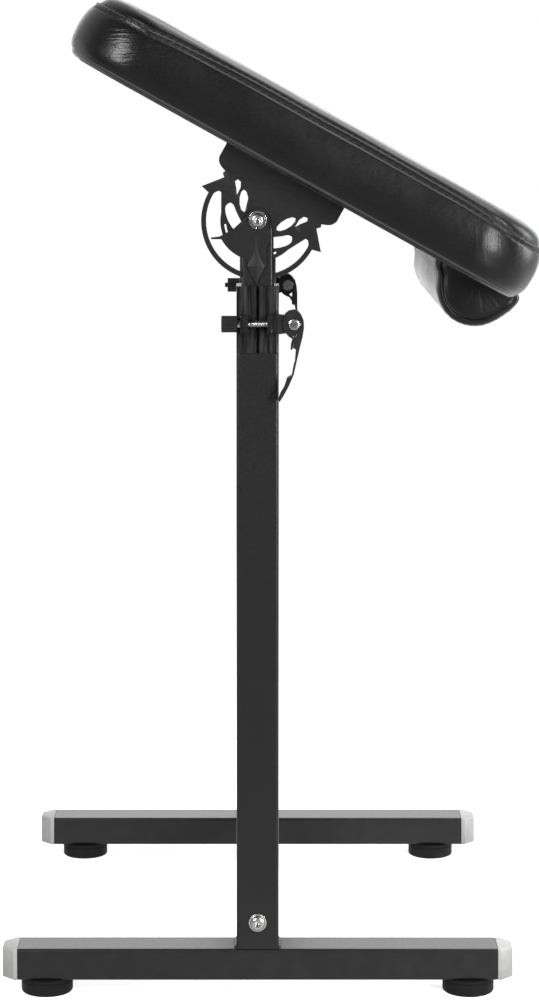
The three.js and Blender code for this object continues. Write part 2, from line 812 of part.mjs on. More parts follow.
// The scale plate: outline, ring slot and petals, with the flange bent inwards under the pad
function makeScalePlate() {
  const range = [plateOuter, plateInner];
  const lower = [];
  const steps = roundFaces;
  for (let step = 0; step < steps; step++) {
    const angle = (-Math.PI / 2) * (1 - step / steps);
    lower.push([ringOuterRadius * Math.cos(angle), ringOuterRadius * Math.sin(angle)]);
  }
  const upper = [
    [thornReach, thornRise],
    [thornRoot, thornRootRise],
    [barbReach, barbRise],
    ...lobePoints(),
  ];
  const outline = polygon(mirrored([...lower.slice(1), [ringOuterRadius, 0], ...upper]).concat([lower[0]]));
  const taper = THREE.MathUtils.degToRad(slotTaperAngle);
  const slot = new THREE.Shape();
  slot.absarc(0, 0, ringInnerRadius, Math.PI, Math.PI * 2, false);
  const ends = slotEndPoints();
  [...ends].reverse().forEach(([x, z]) => slot.lineTo(x, z));
  slot.absarc(0, 0, discRadius, Math.PI * 2 + taper, Math.PI - taper, true);
  ends.forEach(([x, z]) => slot.lineTo(-x, z));
  let plate = uprightSlab(outline, range).subtract(uprightSlab(slot, [-mastSize, mastSize], roundFaces));
  for (const path of discHoles()) {
    const hole = uprightSlab(new THREE.Shape(path.getPoints(5)), [-mastSize, mastSize]);
    plate = plate.subtract(hole).subtract(hole.mirror([1, 0, 0]));
  }
  return finishPlate(plate);
}

// The plain plate of the rear side: the same neck and flange, narrowing to a round end at the pivot
function makePlainPlate() {
  const right = [];
  const steps = hexFaces;
  for (let step = 1; step <= steps; step++) {
    const angle = -Math.PI / 2 + ((Math.PI / 2) * step) / steps;
    right.push([plainPlateRadius * Math.cos(angle), plainPlateRadius * Math.sin(angle)]);
  }
  const bottom = [0, -plainPlateRadius];
  const outline = polygon([...mirrored([...right, ...lobePoints()]), bottom]);
  return finishPlate(uprightSlab(outline, [plateOuter, plateInner]));
}

function finishPlate(plate) {
  const flange = makeFlange([plateOuter, plateOuter + flangeWidth]);
  const hole = rodY(pivotBoltRadius + pinClearance, [-mastSize, mastSize], [0, 0]);
  return plate.add(flange).translate([plateShift, 0, 0]).subtract(hole);
}

// A bracket screw on the Z axis: its head under the flange, its point up in the board
function makeBracketScrew() {
  const under = plateTop - plateThickness - seatClearance;
  const head = bracketHeadShares.map(([across, up]) => [
    across * bracketHeadRadius,
    under - (1 - up) * bracketHeadHeight,
  ]);
  const point = bracketScrewTip - bracketScrewRadius / 2;
  return turned(
    [
      [0, under - bracketHeadHeight],
      ...head,
      [bracketScrewRadius, under],
      [bracketScrewRadius, point],
      [0, bracketScrewTip],
    ],
    smallFaces,
  );
}

// Pad

// One ring of the pad: its plan is a rectangle with round corners and sides drawn in between them
function padRing(inset, height) {
  const halfX = padLength / 2 - inset * padEndShare;
  const halfY = padWidth / 2 - inset;
  const corner = padCorner - inset;
  const signs = [[1, -1], [1, 1], [-1, 1], [-1, -1]];
  const points = [];
  signs.forEach(([sx, sy], index) => {
    const start = (index - 1) * (Math.PI / 2);
    for (let step = 0; step <= padCornerSteps; step++) {
      const angle = start + (Math.PI / 2) * (step / padCornerSteps);
      const x = sx * (halfX - corner) + corner * Math.cos(angle);
      const y = sy * (halfY - corner) + corner * Math.sin(angle);
      points.push(new THREE.Vector3(x, y, height));
    }
    const last = points.at(-1);
    const [nextX, nextY] = signs[(index + 1) % signs.length];
    const angle = start + Math.PI / 2;
    const target = new THREE.Vector3(
      nextX * (halfX - corner) + corner * Math.cos(angle),
      nextY * (halfY - corner) + corner * Math.sin(angle),
      height,
    );
    for (let step = 1; step < padSideSteps; step++) {
      const share = step / padSideSteps;
      const point = last.clone().lerp(target, share);
      const pull = padDrawIn * Math.sin(Math.PI * share);
      point.x -= pull * Math.cos(angle);
      point.y -= pull * Math.sin(angle);
      points.push(point);
    }
  });
  return points.map((point) => point.setX(point.x + padShift));
}

// The cushion: rolled edges with a seam line, a low crown, and a pocket below for the board
function makePadCushion() {
  const rings = padSideShares.map(([inset, height]) =>
    padRing(inset * padEdgeRoll, boardRise + height * padEdgeHeight),
  );
  const rim = rings.at(-1);
  for (const share of padCrownShares) {
    const rise = padCrown * (1 - share ** 2);
    rings.push(
      rim.map((point) => {
        const x = padShift + (point.x - padShift) * share;
        return new THREE.Vector3(x, point.y * share, point.z + rise);
      }),
    );
  }
  const pocket = slab(boardPlan(boardInset - seatClearance), [boardRise - overrun, pocketRise]);
  return loft(rings).subtract(pocket.translate([padShift, 0, 0]));
}

function boardPlan(inset) {
  const margin = (inset + padDrawIn) * 2;
  return roundedRectangle(padLength - margin, padWidth - margin, padCorner - inset);
}

function bolsterScrewPlaces() {
  const along = bolsterEnd - bolsterWidth / 2;
  return [-1, 1].map((end) => [along, (end * bolsterScrewSpacing) / 2]);
}

// Places of all four bracket screws, seen from the pad
function bracketHoles() {
  const places = [];
  for (const side of [-1, 1]) {
    for (const [along, across] of bracketScrewPlaces()) {
      places.push([along + plateShift, side * (postSpacing / 2 - across)]);
    }
  }
  return places;
}

function makeBoard() {
  const top = boardRise + boardThickness;
  let board = slab(boardPlan(boardInset + seatClearance), [boardRise, top]).translate([padShift, 0, 0]);
  for (const place of bracketHoles()) {
    const range = [boardRise - overrun, top + overrun];
    board = board.subtract(rodZ(bracketScrewRadius + holeClearance, range, place));
  }
  const sinkFloor = bolsterScrewTop - bolsterHeadHeight - seatClearance;
  for (const place of bolsterScrewPlaces()) {
    const hole = rodZ(bolsterScrewRadius + holeClearance, [boardRise - overrun, top + overrun], place);
    const sink = rodZ(bolsterHeadRadius + holeClearance, [sinkFloor, top + overrun], place);
    board = board.subtract(hole).subtract(sink);
  }
  return board;
}

function makeDustCover() {
  const range = [dustCoverRise, dustCoverRise + dustCoverThickness];
  let cover = slab(boardPlan(dustCoverInset), range, 4).translate([padShift, 0, 0]);
  const hole = [range[0] - overrun, range[1] + overrun];
  for (const place of bracketHoles()) {
    cover = cover.subtract(rodZ(bracketScrewRadius + holeClearance, hole, place));
  }
  for (const place of bolsterScrewPlaces()) {
    cover = cover.subtract(rodZ(bolsterScrewRadius + holeClearance, hole, place));
  }
  return cover;
}

// Bolster

function bolsterBox(inset, shortening, range) {
  const end = bolsterLength / 2 - shortening;
  return box([bolsterEnd - bolsterWidth + inset, -end, range[0]], [bolsterEnd - inset, end, range[1]]);
}

function makeBolsterCushion() {
  const half = bolsterLength / 2;
  const left = bolsterEnd - bolsterWidth;
  const stations = bolsterRollShares.map(([along, size]) => [-half + along * bolsterEndRoll, size]);
  const far = stations.map(([place, size]) => [-place, size]).reverse();
  const rings = [...stations, ...far].map(([place, size]) =>
    bolsterShares
      .map(([across, down]) => {
        const x = left + bolsterWidth * (0.5 + (across - 0.5) * size);
        return new THREE.Vector3(x, place, bolsterTop - bolsterDepth * down * size);
      })
      .reverse(),
  );
  const range = [bolsterTop - bolsterBoardThickness - seatClearance, bolsterTop + overrun];
  const pocket = bolsterBox(bolsterBoardInset - seatClearance, bolsterBoardShortening - seatClearance, range);
  return loft(rings).subtract(pocket);
}

function makeBolsterBoard() {
  const range = [bolsterTop - bolsterBoardThickness, bolsterTop];
  let board = bolsterBox(bolsterBoardInset, bolsterBoardShortening, range);
  for (const place of bolsterScrewPlaces()) {
    const hole = [bolsterScrewTip - seatClearance, bolsterTop + overrun];
    board = board.subtract(rodZ(bolsterScrewRadius + pinClearance, hole, place));
  }
  return board;
}

// A countersunk screw on the Z axis, from the board down into the bolster's board
function makeBolsterScrew() {
  const rim = bolsterScrewTop - bolsterHeadHeight * (1 - bolsterHeadShare);
  return turned(
    [
      [0, bolsterScrewTip],
      [bolsterScrewRadius, bolsterScrewTip + bolsterScrewRadius],
      [bolsterScrewRadius, bolsterScrewTop - bolsterHeadHeight],
      [bolsterHeadRadius, rim],
      [bolsterHeadRadius, bolsterScrewTop],
      [0, bolsterScrewTop],
    ],
    smallFaces,
  );
}

// Assembly

function sideGroup(side, y) {
  const group = new THREE.Group();
  group.position.y = y * side;
  group.scale.y = -side;
  return group;
}

// The standing pieces of one side; side is -1 at the front and 1 at the rear
function standingSide(name, side) {
  const group = sideGroup(side, postSpacing / 2);
  const inset = side < 0 ? footInset : rearFootInset;
  const leverTurn = side < 0 ? 0 : rearLeverTurn;
  group.add(part(`${name}_foot_rail`, makeRail(inset), blackSteel));
  for (const [hand, end] of [["left", -1], ["right", 1]]) {
    const cap = part(`${name}_${hand}_end_cap`, makeCap(), greyPlastic);
    cap.position.x = (end * railLength) / 2;
    cap.scale.x = end;
    const foot = part(`${name}_${hand}_foot`, makeFoot(), rubber);
    foot.position.x = end * (railLength / 2 - inset);
    group.add(cap, foot);
  }
  group.add(part(`${name}_post`, makePost(), blackSteel));
  group.add(part(`${name}_crossbar_plug`, makeCrossbarPlug(), zincSteel));
  group.add(part(`${name}_crossbar_bolt`, makeFrameBolt(), zincSteel));
  group.add(part(`${name}_crossbar_washer`, makeFrameWasher(), zincSteel));
  group.add(part(`${name}_collar`, makeCollar(), glossPlastic));
  group.add(part(`${name}_clamp_bolt`, makeClampBolt(), zincSteel));
  group.add(part(`${name}_barrel_nut`, makeBarrelNut(), zincSteel));
  group.add(part(`${name}_clamp_seat`, makeClampSeat(), mattPlastic));
  group.add(part(`${name}_clamp_knob`, makeKnob(), mattPlastic));
  group.add(part(`${name}_clamp_lever`, makeLever(leverTurn), mattPlastic));
  return group;
}

// The sliding pieces of one side; the front mast has the index plate under its bolt
function mastSide(name, side) {
  const group = sideGroup(side, postSpacing / 2);
  const face = side < 0 ? -mastFace - indexThickness : -mastFace;
  group.add(part(`${name}_mast`, makeMast(), blackSteel));
  group.add(part(`${name}_guide_plug`, makeGuidePlug(), mattPlastic));
  group.add(part(`${name}_pivot_spacer`, makeSpacer(), zincSteel));
  group.add(part(`${name}_spring_washer`, makeSpringWasher(face), zincSteel));
  group.add(part(`${name}_pivot_bolt`, makePivotBolt(face), zincSteel));
  group.add(part(`${name}_lock_nut`, makeLockNut(), zincSteel));
  if (side < 0) {
    group.add(part("index_plate", makeIndexPlate(), blackSteel));
  }
  return group;
}

// The tilting pieces of one side
function plateSide(name, side, plate) {
  const group = sideGroup(side, postSpacing / 2);
  group.add(part(`${name}_tilt_plate`, plate, plateSteel));
  const hands = ["left", "right"];
  bracketScrewPlaces().forEach(([along, across], index) => {
    const screw = part(`${name}_${hands[index]}_bracket_screw`, makeBracketScrew(), zincSteel);
    screw.position.set(along + plateShift, across, 0);
    group.add(screw);
  });
  return group;
}

function padGroup() {
  const group = new THREE.Group();
  group.position.z = pivotHeight;
  group.rotation.y = THREE.MathUtils.degToRad(padTilt);
  group.add(plateSide("front", -1, makeScalePlate()), plateSide("rear", 1, makePlainPlate()));
  group.add(part("pad_board", makeBoard(), plywood));
  group.add(part("pad_dust_cover", makeDustCover(), cloth));
  group.add(part("pad_cushion", makePadCushion(), leather));
  group.add(part("bolster_board", makeBolsterBoard(), plywood));
  group.add(part("bolster_cushion", makeBolsterCushion(), leather));
  const names = ["front", "rear"];
  bolsterScrewPlaces().forEach(([along, across], index) => {
    const screw = part(`${names[index]}_bolster_screw`, makeBolsterScrew(), zincSteel);
    screw.position.set(along, across, 0);
    group.add(screw);
  });
  return group;
}

const armrest = new THREE.Group();
armrest.add(standingSide("front", -1), standingSide("rear", 1));
armrest.add(part("crossbar", makeCrossbar(), blackSteel));
armrest.add(mastSide("front", -1), mastSide("rear", 1));
armrest.add(padGroup());

// The origin is on the floor, under the middle of the whole outline
const outline = new THREE.Box3().setFromObject(armrest, true);
armrest.position.x = -(outline.min.x + outline.max.x) / 2;

export default armrest;
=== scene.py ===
"""A height-adjustable armrest: foot rails, telescopic posts with clamps, tilt plates, a padded top and a bolster.

Lengths are in metres, and MM marks those written in millimetres. +Z is up, the front looks along -Y, and +X is the
pad's low end.
"""
import json
import math

import bmesh
import bpy
import numpy as np
from bpy.props import FloatProperty, FloatVectorProperty, IntProperty, PointerProperty
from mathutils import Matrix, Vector


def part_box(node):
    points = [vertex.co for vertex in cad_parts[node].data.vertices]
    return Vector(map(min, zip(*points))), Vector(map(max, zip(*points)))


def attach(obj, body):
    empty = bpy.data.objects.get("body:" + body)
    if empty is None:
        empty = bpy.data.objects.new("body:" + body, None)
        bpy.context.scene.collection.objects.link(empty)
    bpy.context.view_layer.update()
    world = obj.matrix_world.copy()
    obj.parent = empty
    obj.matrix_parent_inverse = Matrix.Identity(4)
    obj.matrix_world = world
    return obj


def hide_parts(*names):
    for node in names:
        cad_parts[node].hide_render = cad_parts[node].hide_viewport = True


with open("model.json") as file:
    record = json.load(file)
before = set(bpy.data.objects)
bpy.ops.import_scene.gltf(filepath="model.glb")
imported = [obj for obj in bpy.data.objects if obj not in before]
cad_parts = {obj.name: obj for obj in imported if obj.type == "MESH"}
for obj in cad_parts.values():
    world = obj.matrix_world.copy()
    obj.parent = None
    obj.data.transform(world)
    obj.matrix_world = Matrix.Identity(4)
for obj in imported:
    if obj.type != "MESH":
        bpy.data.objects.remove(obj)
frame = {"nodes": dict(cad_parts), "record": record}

bl_info = {
    "name": "Tilting Armrest",
    "version": (1, 0, 0),
    "blender": (4, 5, 0),
    "location": "3D View > Sidebar > Armrest",
    "description": "Builds the pieces, the finishes and the stage of a tilting armrest",
    "category": "Add Mesh",
}

MM = 0.001
TILT = math.radians(29.05)
SIDES = (("front", -1), ("rear", 1))
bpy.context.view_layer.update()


def middle_of(node):
    """The middle of a node's box at rest."""
    low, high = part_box(node)
    return np.array((low + high) / 2)


# The posts stand at POST_X and at SIDE_Y to the front and the rear; the pad tilts about a line at PIVOT_Z
POST_X = middle_of("front_mast")[0]
POST_HALF = 0.02
SIDE_Y = abs(middle_of("front_mast")[1])
PIVOT_Z = middle_of("front_pivot_spacer")[2]
# The clamp bolts' axis, with CLAMP_Y counted from a post's middle, outwards below zero
CLAMP_Z = middle_of("front_barrel_nut")[2]
CLAMP_Y = -0.0275


# Sizes and colours that a user would change


def length_property(name, description, default):
    """A property that is a length."""
    return FloatProperty(name=name, description=description, default=default, unit="LENGTH")


def colour_property(name, description, default):
    """A property that is a base colour."""
    return FloatVectorProperty(name=name, description=description, default=default, subtype="COLOR")


class ArmrestSizes(bpy.types.PropertyGroup):
    """Sizes of the fine forms."""

    tube_corner: length_property("Tube corner", "Outside radius of a square tube's corners", 0.003)
    weld_leg: length_property("Weld leg", "Size of the weld bead at a post's foot", 0.003)
    stitch_pitch: length_property("Stitch pitch", "Distance from one stitch to the next", 0.0078)
    thread_radius: length_property("Thread radius", "Radius of the sewing thread", 0.0005)
    seam_depth: length_property("Seam depth", "How far a stitched row pulls the leather in", 0.0013)
    swell: length_property("Swell", "The most that the foam may push the leather out", 0.005)
    bolt_thread: length_property("Thread pitch", "Pitch of the clamp bolt's thread", 0.001)
    staples: IntProperty(name="Staples", description="Staples along the dust cover's edge", default=64, min=8)


class ArmrestColours(bpy.types.PropertyGroup):
    """Base colours of the finishes, as linear values."""

    powder: colour_property("Powder coat", "Black powder coat of the tubes", (0.0085, 0.0085, 0.009))
    plate: colour_property("Plates", "Black coat of the tilt plates", (0.0065, 0.0065, 0.007))
    zinc: colour_property("Zinc", "Zinc plate of the bolts", (0.44, 0.447, 0.455))
    cap: colour_property("End caps", "Grey plastic of the end caps", (0.335, 0.335, 0.331))
    collar: colour_property("Collars", "Glossy black plastic", (0.017, 0.017, 0.018))
    grip: colour_property("Levers", "Matt black plastic", (0.012, 0.012, 0.013))
    rubber: colour_property("Feet", "Black rubber", (0.008, 0.008, 0.008))
    leather: colour_property("Leather", "Black leather of the pad", (0.0034, 0.0034, 0.0037))


def sizes():
    """The scene's sizes."""
    return bpy.context.scene.armrest_sizes


def colours():
    """The scene's colours."""
    return bpy.context.scene.armrest_colours


# Surfaces


def full_turn(count):
    """Angles spaced evenly round a circle."""
    return np.linspace(0, 2 * math.pi, count, endpoint=False)


def bell(distance, width):
    """A bell curve: 1 at distance 0, and 1/e at the width."""
    return np.exp(-((distance / width) ** 2))


def shell(points, wrap_rows=False, poles=True):
    """Vertices, quads and triangles of a grid of points whose columns wrap round. With poles, the first and last rows
    close on a fan round their middles."""
    rows, columns = points.shape[:2]
    row = np.arange(rows if wrap_rows else rows - 1)
    a, b = np.meshgrid(row, np.arange(columns), indexing="ij")
    next_row, next_column = (a + 1) % rows, (b + 1) % columns
    corners = [a * columns + b, a * columns + next_column, next_row * columns + next_column, next_row * columns + b]
    quads = np.stack(corners, -1).reshape(-1, 4)
    vertices = points.reshape(-1, 3)
    triangles = np.empty((0, 3), int)
    if poles:
        ring = np.arange(columns)
        after = (ring + 1) % columns
        count = len(vertices)
        last = count - columns
        vertices = np.vstack([vertices, points[0].mean(0), points[-1].mean(0)])
        first_fan = np.stack([after, ring, np.full(columns, count)], -1)
        last_fan = np.stack([last + ring, last + after, np.full(columns, count + 1)], -1)
        triangles = np.vstack([first_fan, last_fan])
    return vertices, quads, triangles


def inside_out(vertices, quads, triangles):
    """Whether a closed mesh's volume, the sum of the tetrahedra from its faces to the origin, is negative."""
    corners = vertices[np.vstack([triangles, quads[:, :3], quads[:, [0, 2, 3]]])]
    return np.einsum("ij,ij->i", corners[:, 0], np.cross(corners[:, 1], corners[:, 2])).sum() < 0


def new_object(name, vertices, faces):
    """A new object in the scene from its vertices and a list of its faces."""
    mesh = bpy.data.meshes.new(name)
    mesh.from_pydata(vertices.tolist(), [], faces)
    piece = bpy.data.objects.new(name, mesh)
    bpy.context.scene.collection.objects.link(piece)
    return piece


def settle(piece, body, slot, replaces=(), finish=None):
    """Gives a finished piece its material, the finish's or else the slot's, puts it in its body and hides the nodes
    that it replaces.
    """
    piece.data.materials.clear()
    piece.data.materials.append(finish_of(finish or slot))
    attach(piece, body)
    if replaces:
        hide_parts(*replaces)
    return piece


def make_piece(name, shells, body, slot, replaces=(), finish=None):
    """One smooth object from one or more closed shells, each turned so that its faces point outwards."""
    vertices, faces, count = [], [], 0
    for points, quads, triangles in shells:
        order = -1 if inside_out(points, quads, triangles) else 1
        faces += (quads[:, ::order] + count).tolist() + (triangles[:, ::order] + count).tolist()
        vertices.append(points)
        count += len(points)
    piece = new_object(name, np.vstack(vertices), faces)
    piece.data.shade_smooth()
    return settle(piece, body, slot, replaces, finish)


def on_side(points, side):
    """Points given across one side, outwards along -Y, moved to the front (-1) or the rear (1)."""
    return np.stack([POST_X + points[..., 0], side * (SIDE_Y - points[..., 1]), points[..., 2]], -1)


def leaned(points):
    """Points given along, across and square to the pad, turned to its tilt."""
    along, across, rise = points[..., 0], points[..., 1], points[..., 2]
    x = along * math.cos(TILT) + rise * math.sin(TILT)
    z = rise * math.cos(TILT) - along * math.sin(TILT)
    return np.stack([x, across, z], -1)


def on_pad(points):
    """Points given along, across and square to the pad from its pivot, put in their place."""
    return leaned(points) + (POST_X, 0, PIVOT_Z)


def facing(points, axis, place, side, **wraps):
    """The shell of a shape made along Z: its +Z is turned along an axis, and it goes to a place on one side."""
    x, y, z = points[..., 0], points[..., 1], points[..., 2]
    turns = {"+X": (z, x, y), "-X": (-z, -x, y), "-Y": (x, -z, y)}
    return shell(on_side(np.stack(turns[axis], -1) + np.asarray(place, float), side), **wraps)


def round_z(radius, angle, height):
    """Points at a radius and an angle about Z, and at a height."""
    x, y = radius * np.cos(angle), radius * np.sin(angle)
    return np.stack([x, y, np.broadcast_to(height, x.shape)], -1)


def soft_profile(points, radius, steps=4, closed=False):
    """A polyline with each corner rounded by a quadratic curve, and a support point on the straight beside it."""
    points = np.asarray(points, float)
    count = len(points)
    rounded = [] if closed else [points[0]]
    for index in range(count) if closed else range(1, count - 1):
        corner, before, after = points[index], points[index - 1], points[(index + 1) % count]
        reach_before = np.linalg.norm(before - corner)
        reach_after = np.linalg.norm(after - corner)
        cut = min(radius, reach_before * 0.4, reach_after * 0.4)
        to_before = (before - corner) / reach_before * cut
        to_after = (after - corner) / reach_after * cut
        start, end = corner + to_before, corner + to_after
        rounded.append(corner + to_before * 1.2)
        for step in np.linspace(0, 1, steps):
            rounded.append((1 - step) ** 2 * start + 2 * step * (1 - step) * corner + step**2 * end)
        rounded.append(corner + to_after * 1.2)
    if not closed:
        rounded.append(points[-1])
    return np.array(rounded)


def turned(profile, columns=48, sides=0, side_share=None):
    """A profile of radius and height turned about Z. Where side_share is 1, the radius follows a polygon of that many
    sides: the corner radius times cos(pi/n) over the cosine of the angle to the nearest flat's middle."""
    profile = np.asarray(profile, float)
    angle = full_turn(columns)
    radius = np.repeat(profile[:, :1], columns, 1)
    if sides:
        wedge = 2 * math.pi / sides
        polygon = math.cos(wedge / 2) / np.cos(np.mod(angle, wedge) - wedge / 2)
        share = np.asarray(side_share, float)[:, None]
        radius = radius * (1 - share + share * polygon)
    return round_z(radius, angle, profile[:, 1:2])


def rounded_ring(half_x, half_y, radius, steps=7, support=0.0004):
    """A rectangle with round corners, anticlockwise, with a support point beside each corner's ends."""
    ring = []
    for turn, (sign_x, sign_y) in enumerate(((1, 1), (-1, 1), (-1, -1), (1, -1))):
        angle = np.linspace(0, math.pi / 2, steps) + turn * math.pi / 2
        centre = (sign_x * (half_x - radius), sign_y * (half_y - radius))
        arc = centre + radius * np.stack([np.cos(angle), np.sin(angle)], -1)
        ahead = support * np.stack([-np.sin(angle), np.cos(angle)], -1)
        ring.append(np.vstack([arc[0] - ahead[0], arc, arc[-1] + ahead[-1]]))
    return np.vstack(ring)


def square_tube(width, depth, wall, start, end):
    """An open square tube along Z: the section's ring, drawn in by the wall, carried up outside and down inside."""
    corner = sizes().tube_corner
    rim = wall * 0.3
    path = [(rim, start), (0, start + rim), (0, start + 2 * rim), (0, end - 2 * rim), (0, end - rim), (rim, end)]
    path += [(wall - rim, end), (wall, end - rim), (wall, start + rim), (wall - rim, start)]
    rows = []
    for inset, height in path:
        ring = rounded_ring(width / 2 - inset, depth / 2 - inset, max(corner - inset, wall * 0.25))
        rows.append(np.column_stack([ring, np.full(len(ring), height)]))
    return np.array(rows)


# Materials


class Nodes:
    """Short calls for one node tree."""

    def __init__(self, tree):
        self.tree = tree

    def put(self, value, socket):
        """Links a value that comes from a socket, and sets a plain one."""
        if isinstance(value, bpy.types.NodeSocket):
            self.tree.links.new(value, socket)
        else:
            socket.default_value = value

    def add(self, kind, inputs=None, **settings):
        """A new shader node with its settings, and with its inputs by name or number."""
        node = self.tree.nodes.new("ShaderNode" + kind)
        for name, value in settings.items():
            setattr(node, name, value)
        for key, value in (inputs or {}).items():
            self.put(value, node.inputs[key])
        return node

    def noise(self, vector, scale, detail=4.0, roughness=0.5):
        """Noise over a vector."""
        inputs = {"Vector": vector, "Scale": scale, "Detail": detail, "Roughness": roughness}
        return self.add("TexNoise", inputs).outputs["Fac"]

    def map_range(self, value, low, high, to_low=0.0, to_high=1.0):
        """A value's range made another range."""
        inputs = {"Value": value, "From Min": low, "From Max": high, "To Min": to_low, "To Max": to_high}
        return self.add("MapRange", inputs).outputs["Result"]

    def spread(self, noise, low, high):
        """A noise, which stays mostly between 0.3 and 0.7, spread from low to high."""
        return self.map_range(noise, 0.3, 0.7, low, high)

    def math(self, operation, first, second):
        """A sum, product or other result of two values."""
        return self.add("Math", {0: first, 1: second}, operation=operation).outputs[0]

    def mix(self, factor, first, second):
        """A mix of two colours."""
        sides = [value if isinstance(value, bpy.types.NodeSocket) else (*value, 1.0) for value in (first, second)]
        return self.add("Mix", {0: factor, 6: sides[0], 7: sides[1]}, data_type="RGBA").outputs[2]

    def bump(self, height, strength, distance, normal=None):
        """A bump from a height, over another bump where one is given."""
        below = {} if normal is None else {"Normal": normal}
        inputs = {"Height": height, "Strength": strength, "Distance": distance, **below}
        return self.add("Bump", inputs).outputs["Normal"]

    def coordinates(self, stretch=None):
        """Object coordinates, stretched along the axes."""
        source = self.add("TexCoord").outputs["Object"]
        if stretch is None:
            return source
        return self.add("Mapping", {"Vector": source, "Scale": stretch}).outputs["Vector"]

    def attribute(self, name):
        """A value that a piece carries at its points."""
        return self.add("Attribute", attribute_name=name).outputs["Fac"]

    def split(self, vector):
        """A vector's X, Y and Z."""
        return self.add("SeparateXYZ", {0: vector}).outputs

    def grouped(self, tree, vector, **values):
        """The outputs of a node group over a vector."""
        return self.add("Group", {"Vector": vector, **values}, node_tree=tree).outputs

    def seen_rays(self, vector, front, back):
        """1 on rays that show the pale surround: the camera's, those through glass, and reflections, which find it
        from Y front to Y back growing from the studio's dim front side to the full backdrop."""
        path = self.add("LightPath").outputs
        behind = self.map_range(self.split(vector)["Y"], front, back)
        mirrored = self.math("MULTIPLY", path["Is Glossy Ray"], behind)
        plain = self.math("MAXIMUM", path["Is Camera Ray"], path["Is Transmission Ray"])
        return self.math("MAXIMUM", plain, mirrored)


class Finish(Nodes):
    """A new material and short calls for its nodes."""

    def __init__(self, name):
        self.material = bpy.data.materials.new(name)
        self.material.use_nodes = True
        super().__init__(self.material.node_tree)
        self.shader = self.tree.nodes["Principled BSDF"]

    def clouded(self, grain, base, dark, light):
        """A colour that drifts between a darker and a lighter tint of itself."""
        return self.mix(self.spread(grain["Cloud"], 0.0, 1.0), tint(base, dark), tint(base, light))

    def made(self, base, roughness, normal, mirror=0.5, metallic=0.0):
        """The material, with its shader fed; mirror is the plain specular level."""
        inputs = self.shader.inputs
        self.put(base, inputs["Base Color"])
        self.put(roughness, inputs["Roughness"])
        self.put(normal, inputs["Normal"])
        self.put(mirror, inputs["Specular IOR Level"])
        self.put(metallic, inputs["Metallic"])
        return self.material


def tint(base, factor):
    """A colour made darker or lighter."""
    return tuple(min(channel * factor, 1.0) for channel in base)


def group(name, numbers, results, fill):
    """A shader node group, made once: a vector and named numbers go in, named results come out, and fill links
    them."""
    found = bpy.data.node_groups.get(name)
    if found:
        return found
    tree = bpy.data.node_groups.new(name, "ShaderNodeTree")
    tree.interface.new_socket("Vector", in_out="INPUT", socket_type="NodeSocketVector")
    for socket, default in numbers.items():
        tree.interface.new_socket(socket, in_out="INPUT", socket_type="NodeSocketFloat").default_value = default
    for socket in results:
        tree.interface.new_socket(socket, in_out="OUTPUT", socket_type="NodeSocketFloat")
    start = tree.nodes.new("NodeGroupInput")
    end = tree.nodes.new("NodeGroupOutput")
    fill(Nodes(tree), start.outputs, end.inputs)
    return tree


def grain_group():
    """Cloudy variation and fine speckle: two noises, one at Scale and one eighteen times finer."""

    def fill(nodes, start, end):
        for name, factor in (("Cloud", 1.0), ("Speckle", 18.0)):
            scale = nodes.math("MULTIPLY", start["Scale"], factor)
            nodes.put(nodes.noise(start["Vector"], scale, 3.0), end[name])

    return group("armrest_grain", {"Scale": 20.0}, ("Cloud", "Speckle"), fill)


def dust_group():
    """Dust that settles low: a mask that rises from Height down to the floor, broken up by noise."""

    def fill(nodes, start, end):
        ratio = nodes.math("DIVIDE", nodes.split(start["Vector"])["Z"], start["Height"])
        low = nodes.map_range(ratio, 0.0, 1.0, 1.0, 0.0)
        patches = nodes.map_range(nodes.noise(start["Vector"], 55.0, 6.0, 0.65), 0.42, 0.75)
        nodes.put(nodes.math("MULTIPLY", nodes.math("MULTIPLY", low, patches), start["Amount"]), end["Mask"])

    return group("armrest_dust", {"Height": 0.1, "Amount": 0.3}, ("Mask",), fill)


def pebble_group():
    """Leather grain: smooth cells of two sizes with soft valleys between them, bent by a slow noise."""

    def fill(nodes, start, end):
        warp = nodes.add("TexNoise", {"Vector": start["Vector"], "Scale": 90.0}).outputs["Color"]
        shift = nodes.add("VectorMath", {0: warp, "Scale": 0.004}, operation="SCALE").outputs[0]
        bent = nodes.add("VectorMath", {0: start["Vector"], 1: shift}, operation="ADD").outputs[0]
        heights = []
        for factor, weight in ((1.0, 0.7), (2.3, 0.3)):
            scale = nodes.math("MULTIPLY", start["Scale"], factor)
            inputs = {"Vector": bent, "Scale": scale, "Smoothness": 0.6}
            cells = nodes.add("TexVoronoi", inputs, feature="SMOOTH_F1").outputs["Distance"]
            dome = nodes.map_range(cells, 0.0, 0.8, 1.0, 0.0)
            heights.append(nodes.math("MULTIPLY", dome, weight))
        nodes.put(nodes.math("ADD", *heights), end["Height"])

    return group("armrest_pebble", {"Scale": 700.0}, ("Height",), fill)


def coated_metal(name, base, rough, peel, dust):
    """Powder coat: orange-peel bump, cloudy colour and gloss, and dust near the floor."""
    finish = Finish(name)
    vector = finish.coordinates()
    grain = finish.grouped(grain_group(), vector, Scale=26.0)
    mask = finish.grouped(dust_group(), vector, Height=0.12, Amount=dust)["Mask"]
    dusty = finish.mix(mask, finish.clouded(grain, base, 0.97, 1.04), (0.1, 0.098, 0.093))
    gloss = finish.spread(grain["Speckle"], rough - 0.04, rough + 0.05)
    gloss = finish.math("ADD", gloss, finish.math("MULTIPLY", mask, 0.3))
    return finish.made(dusty, gloss, finish.bump(finish.noise(vector, 820.0, 2.0, 0.4), peel, 0.0002), 0.3)


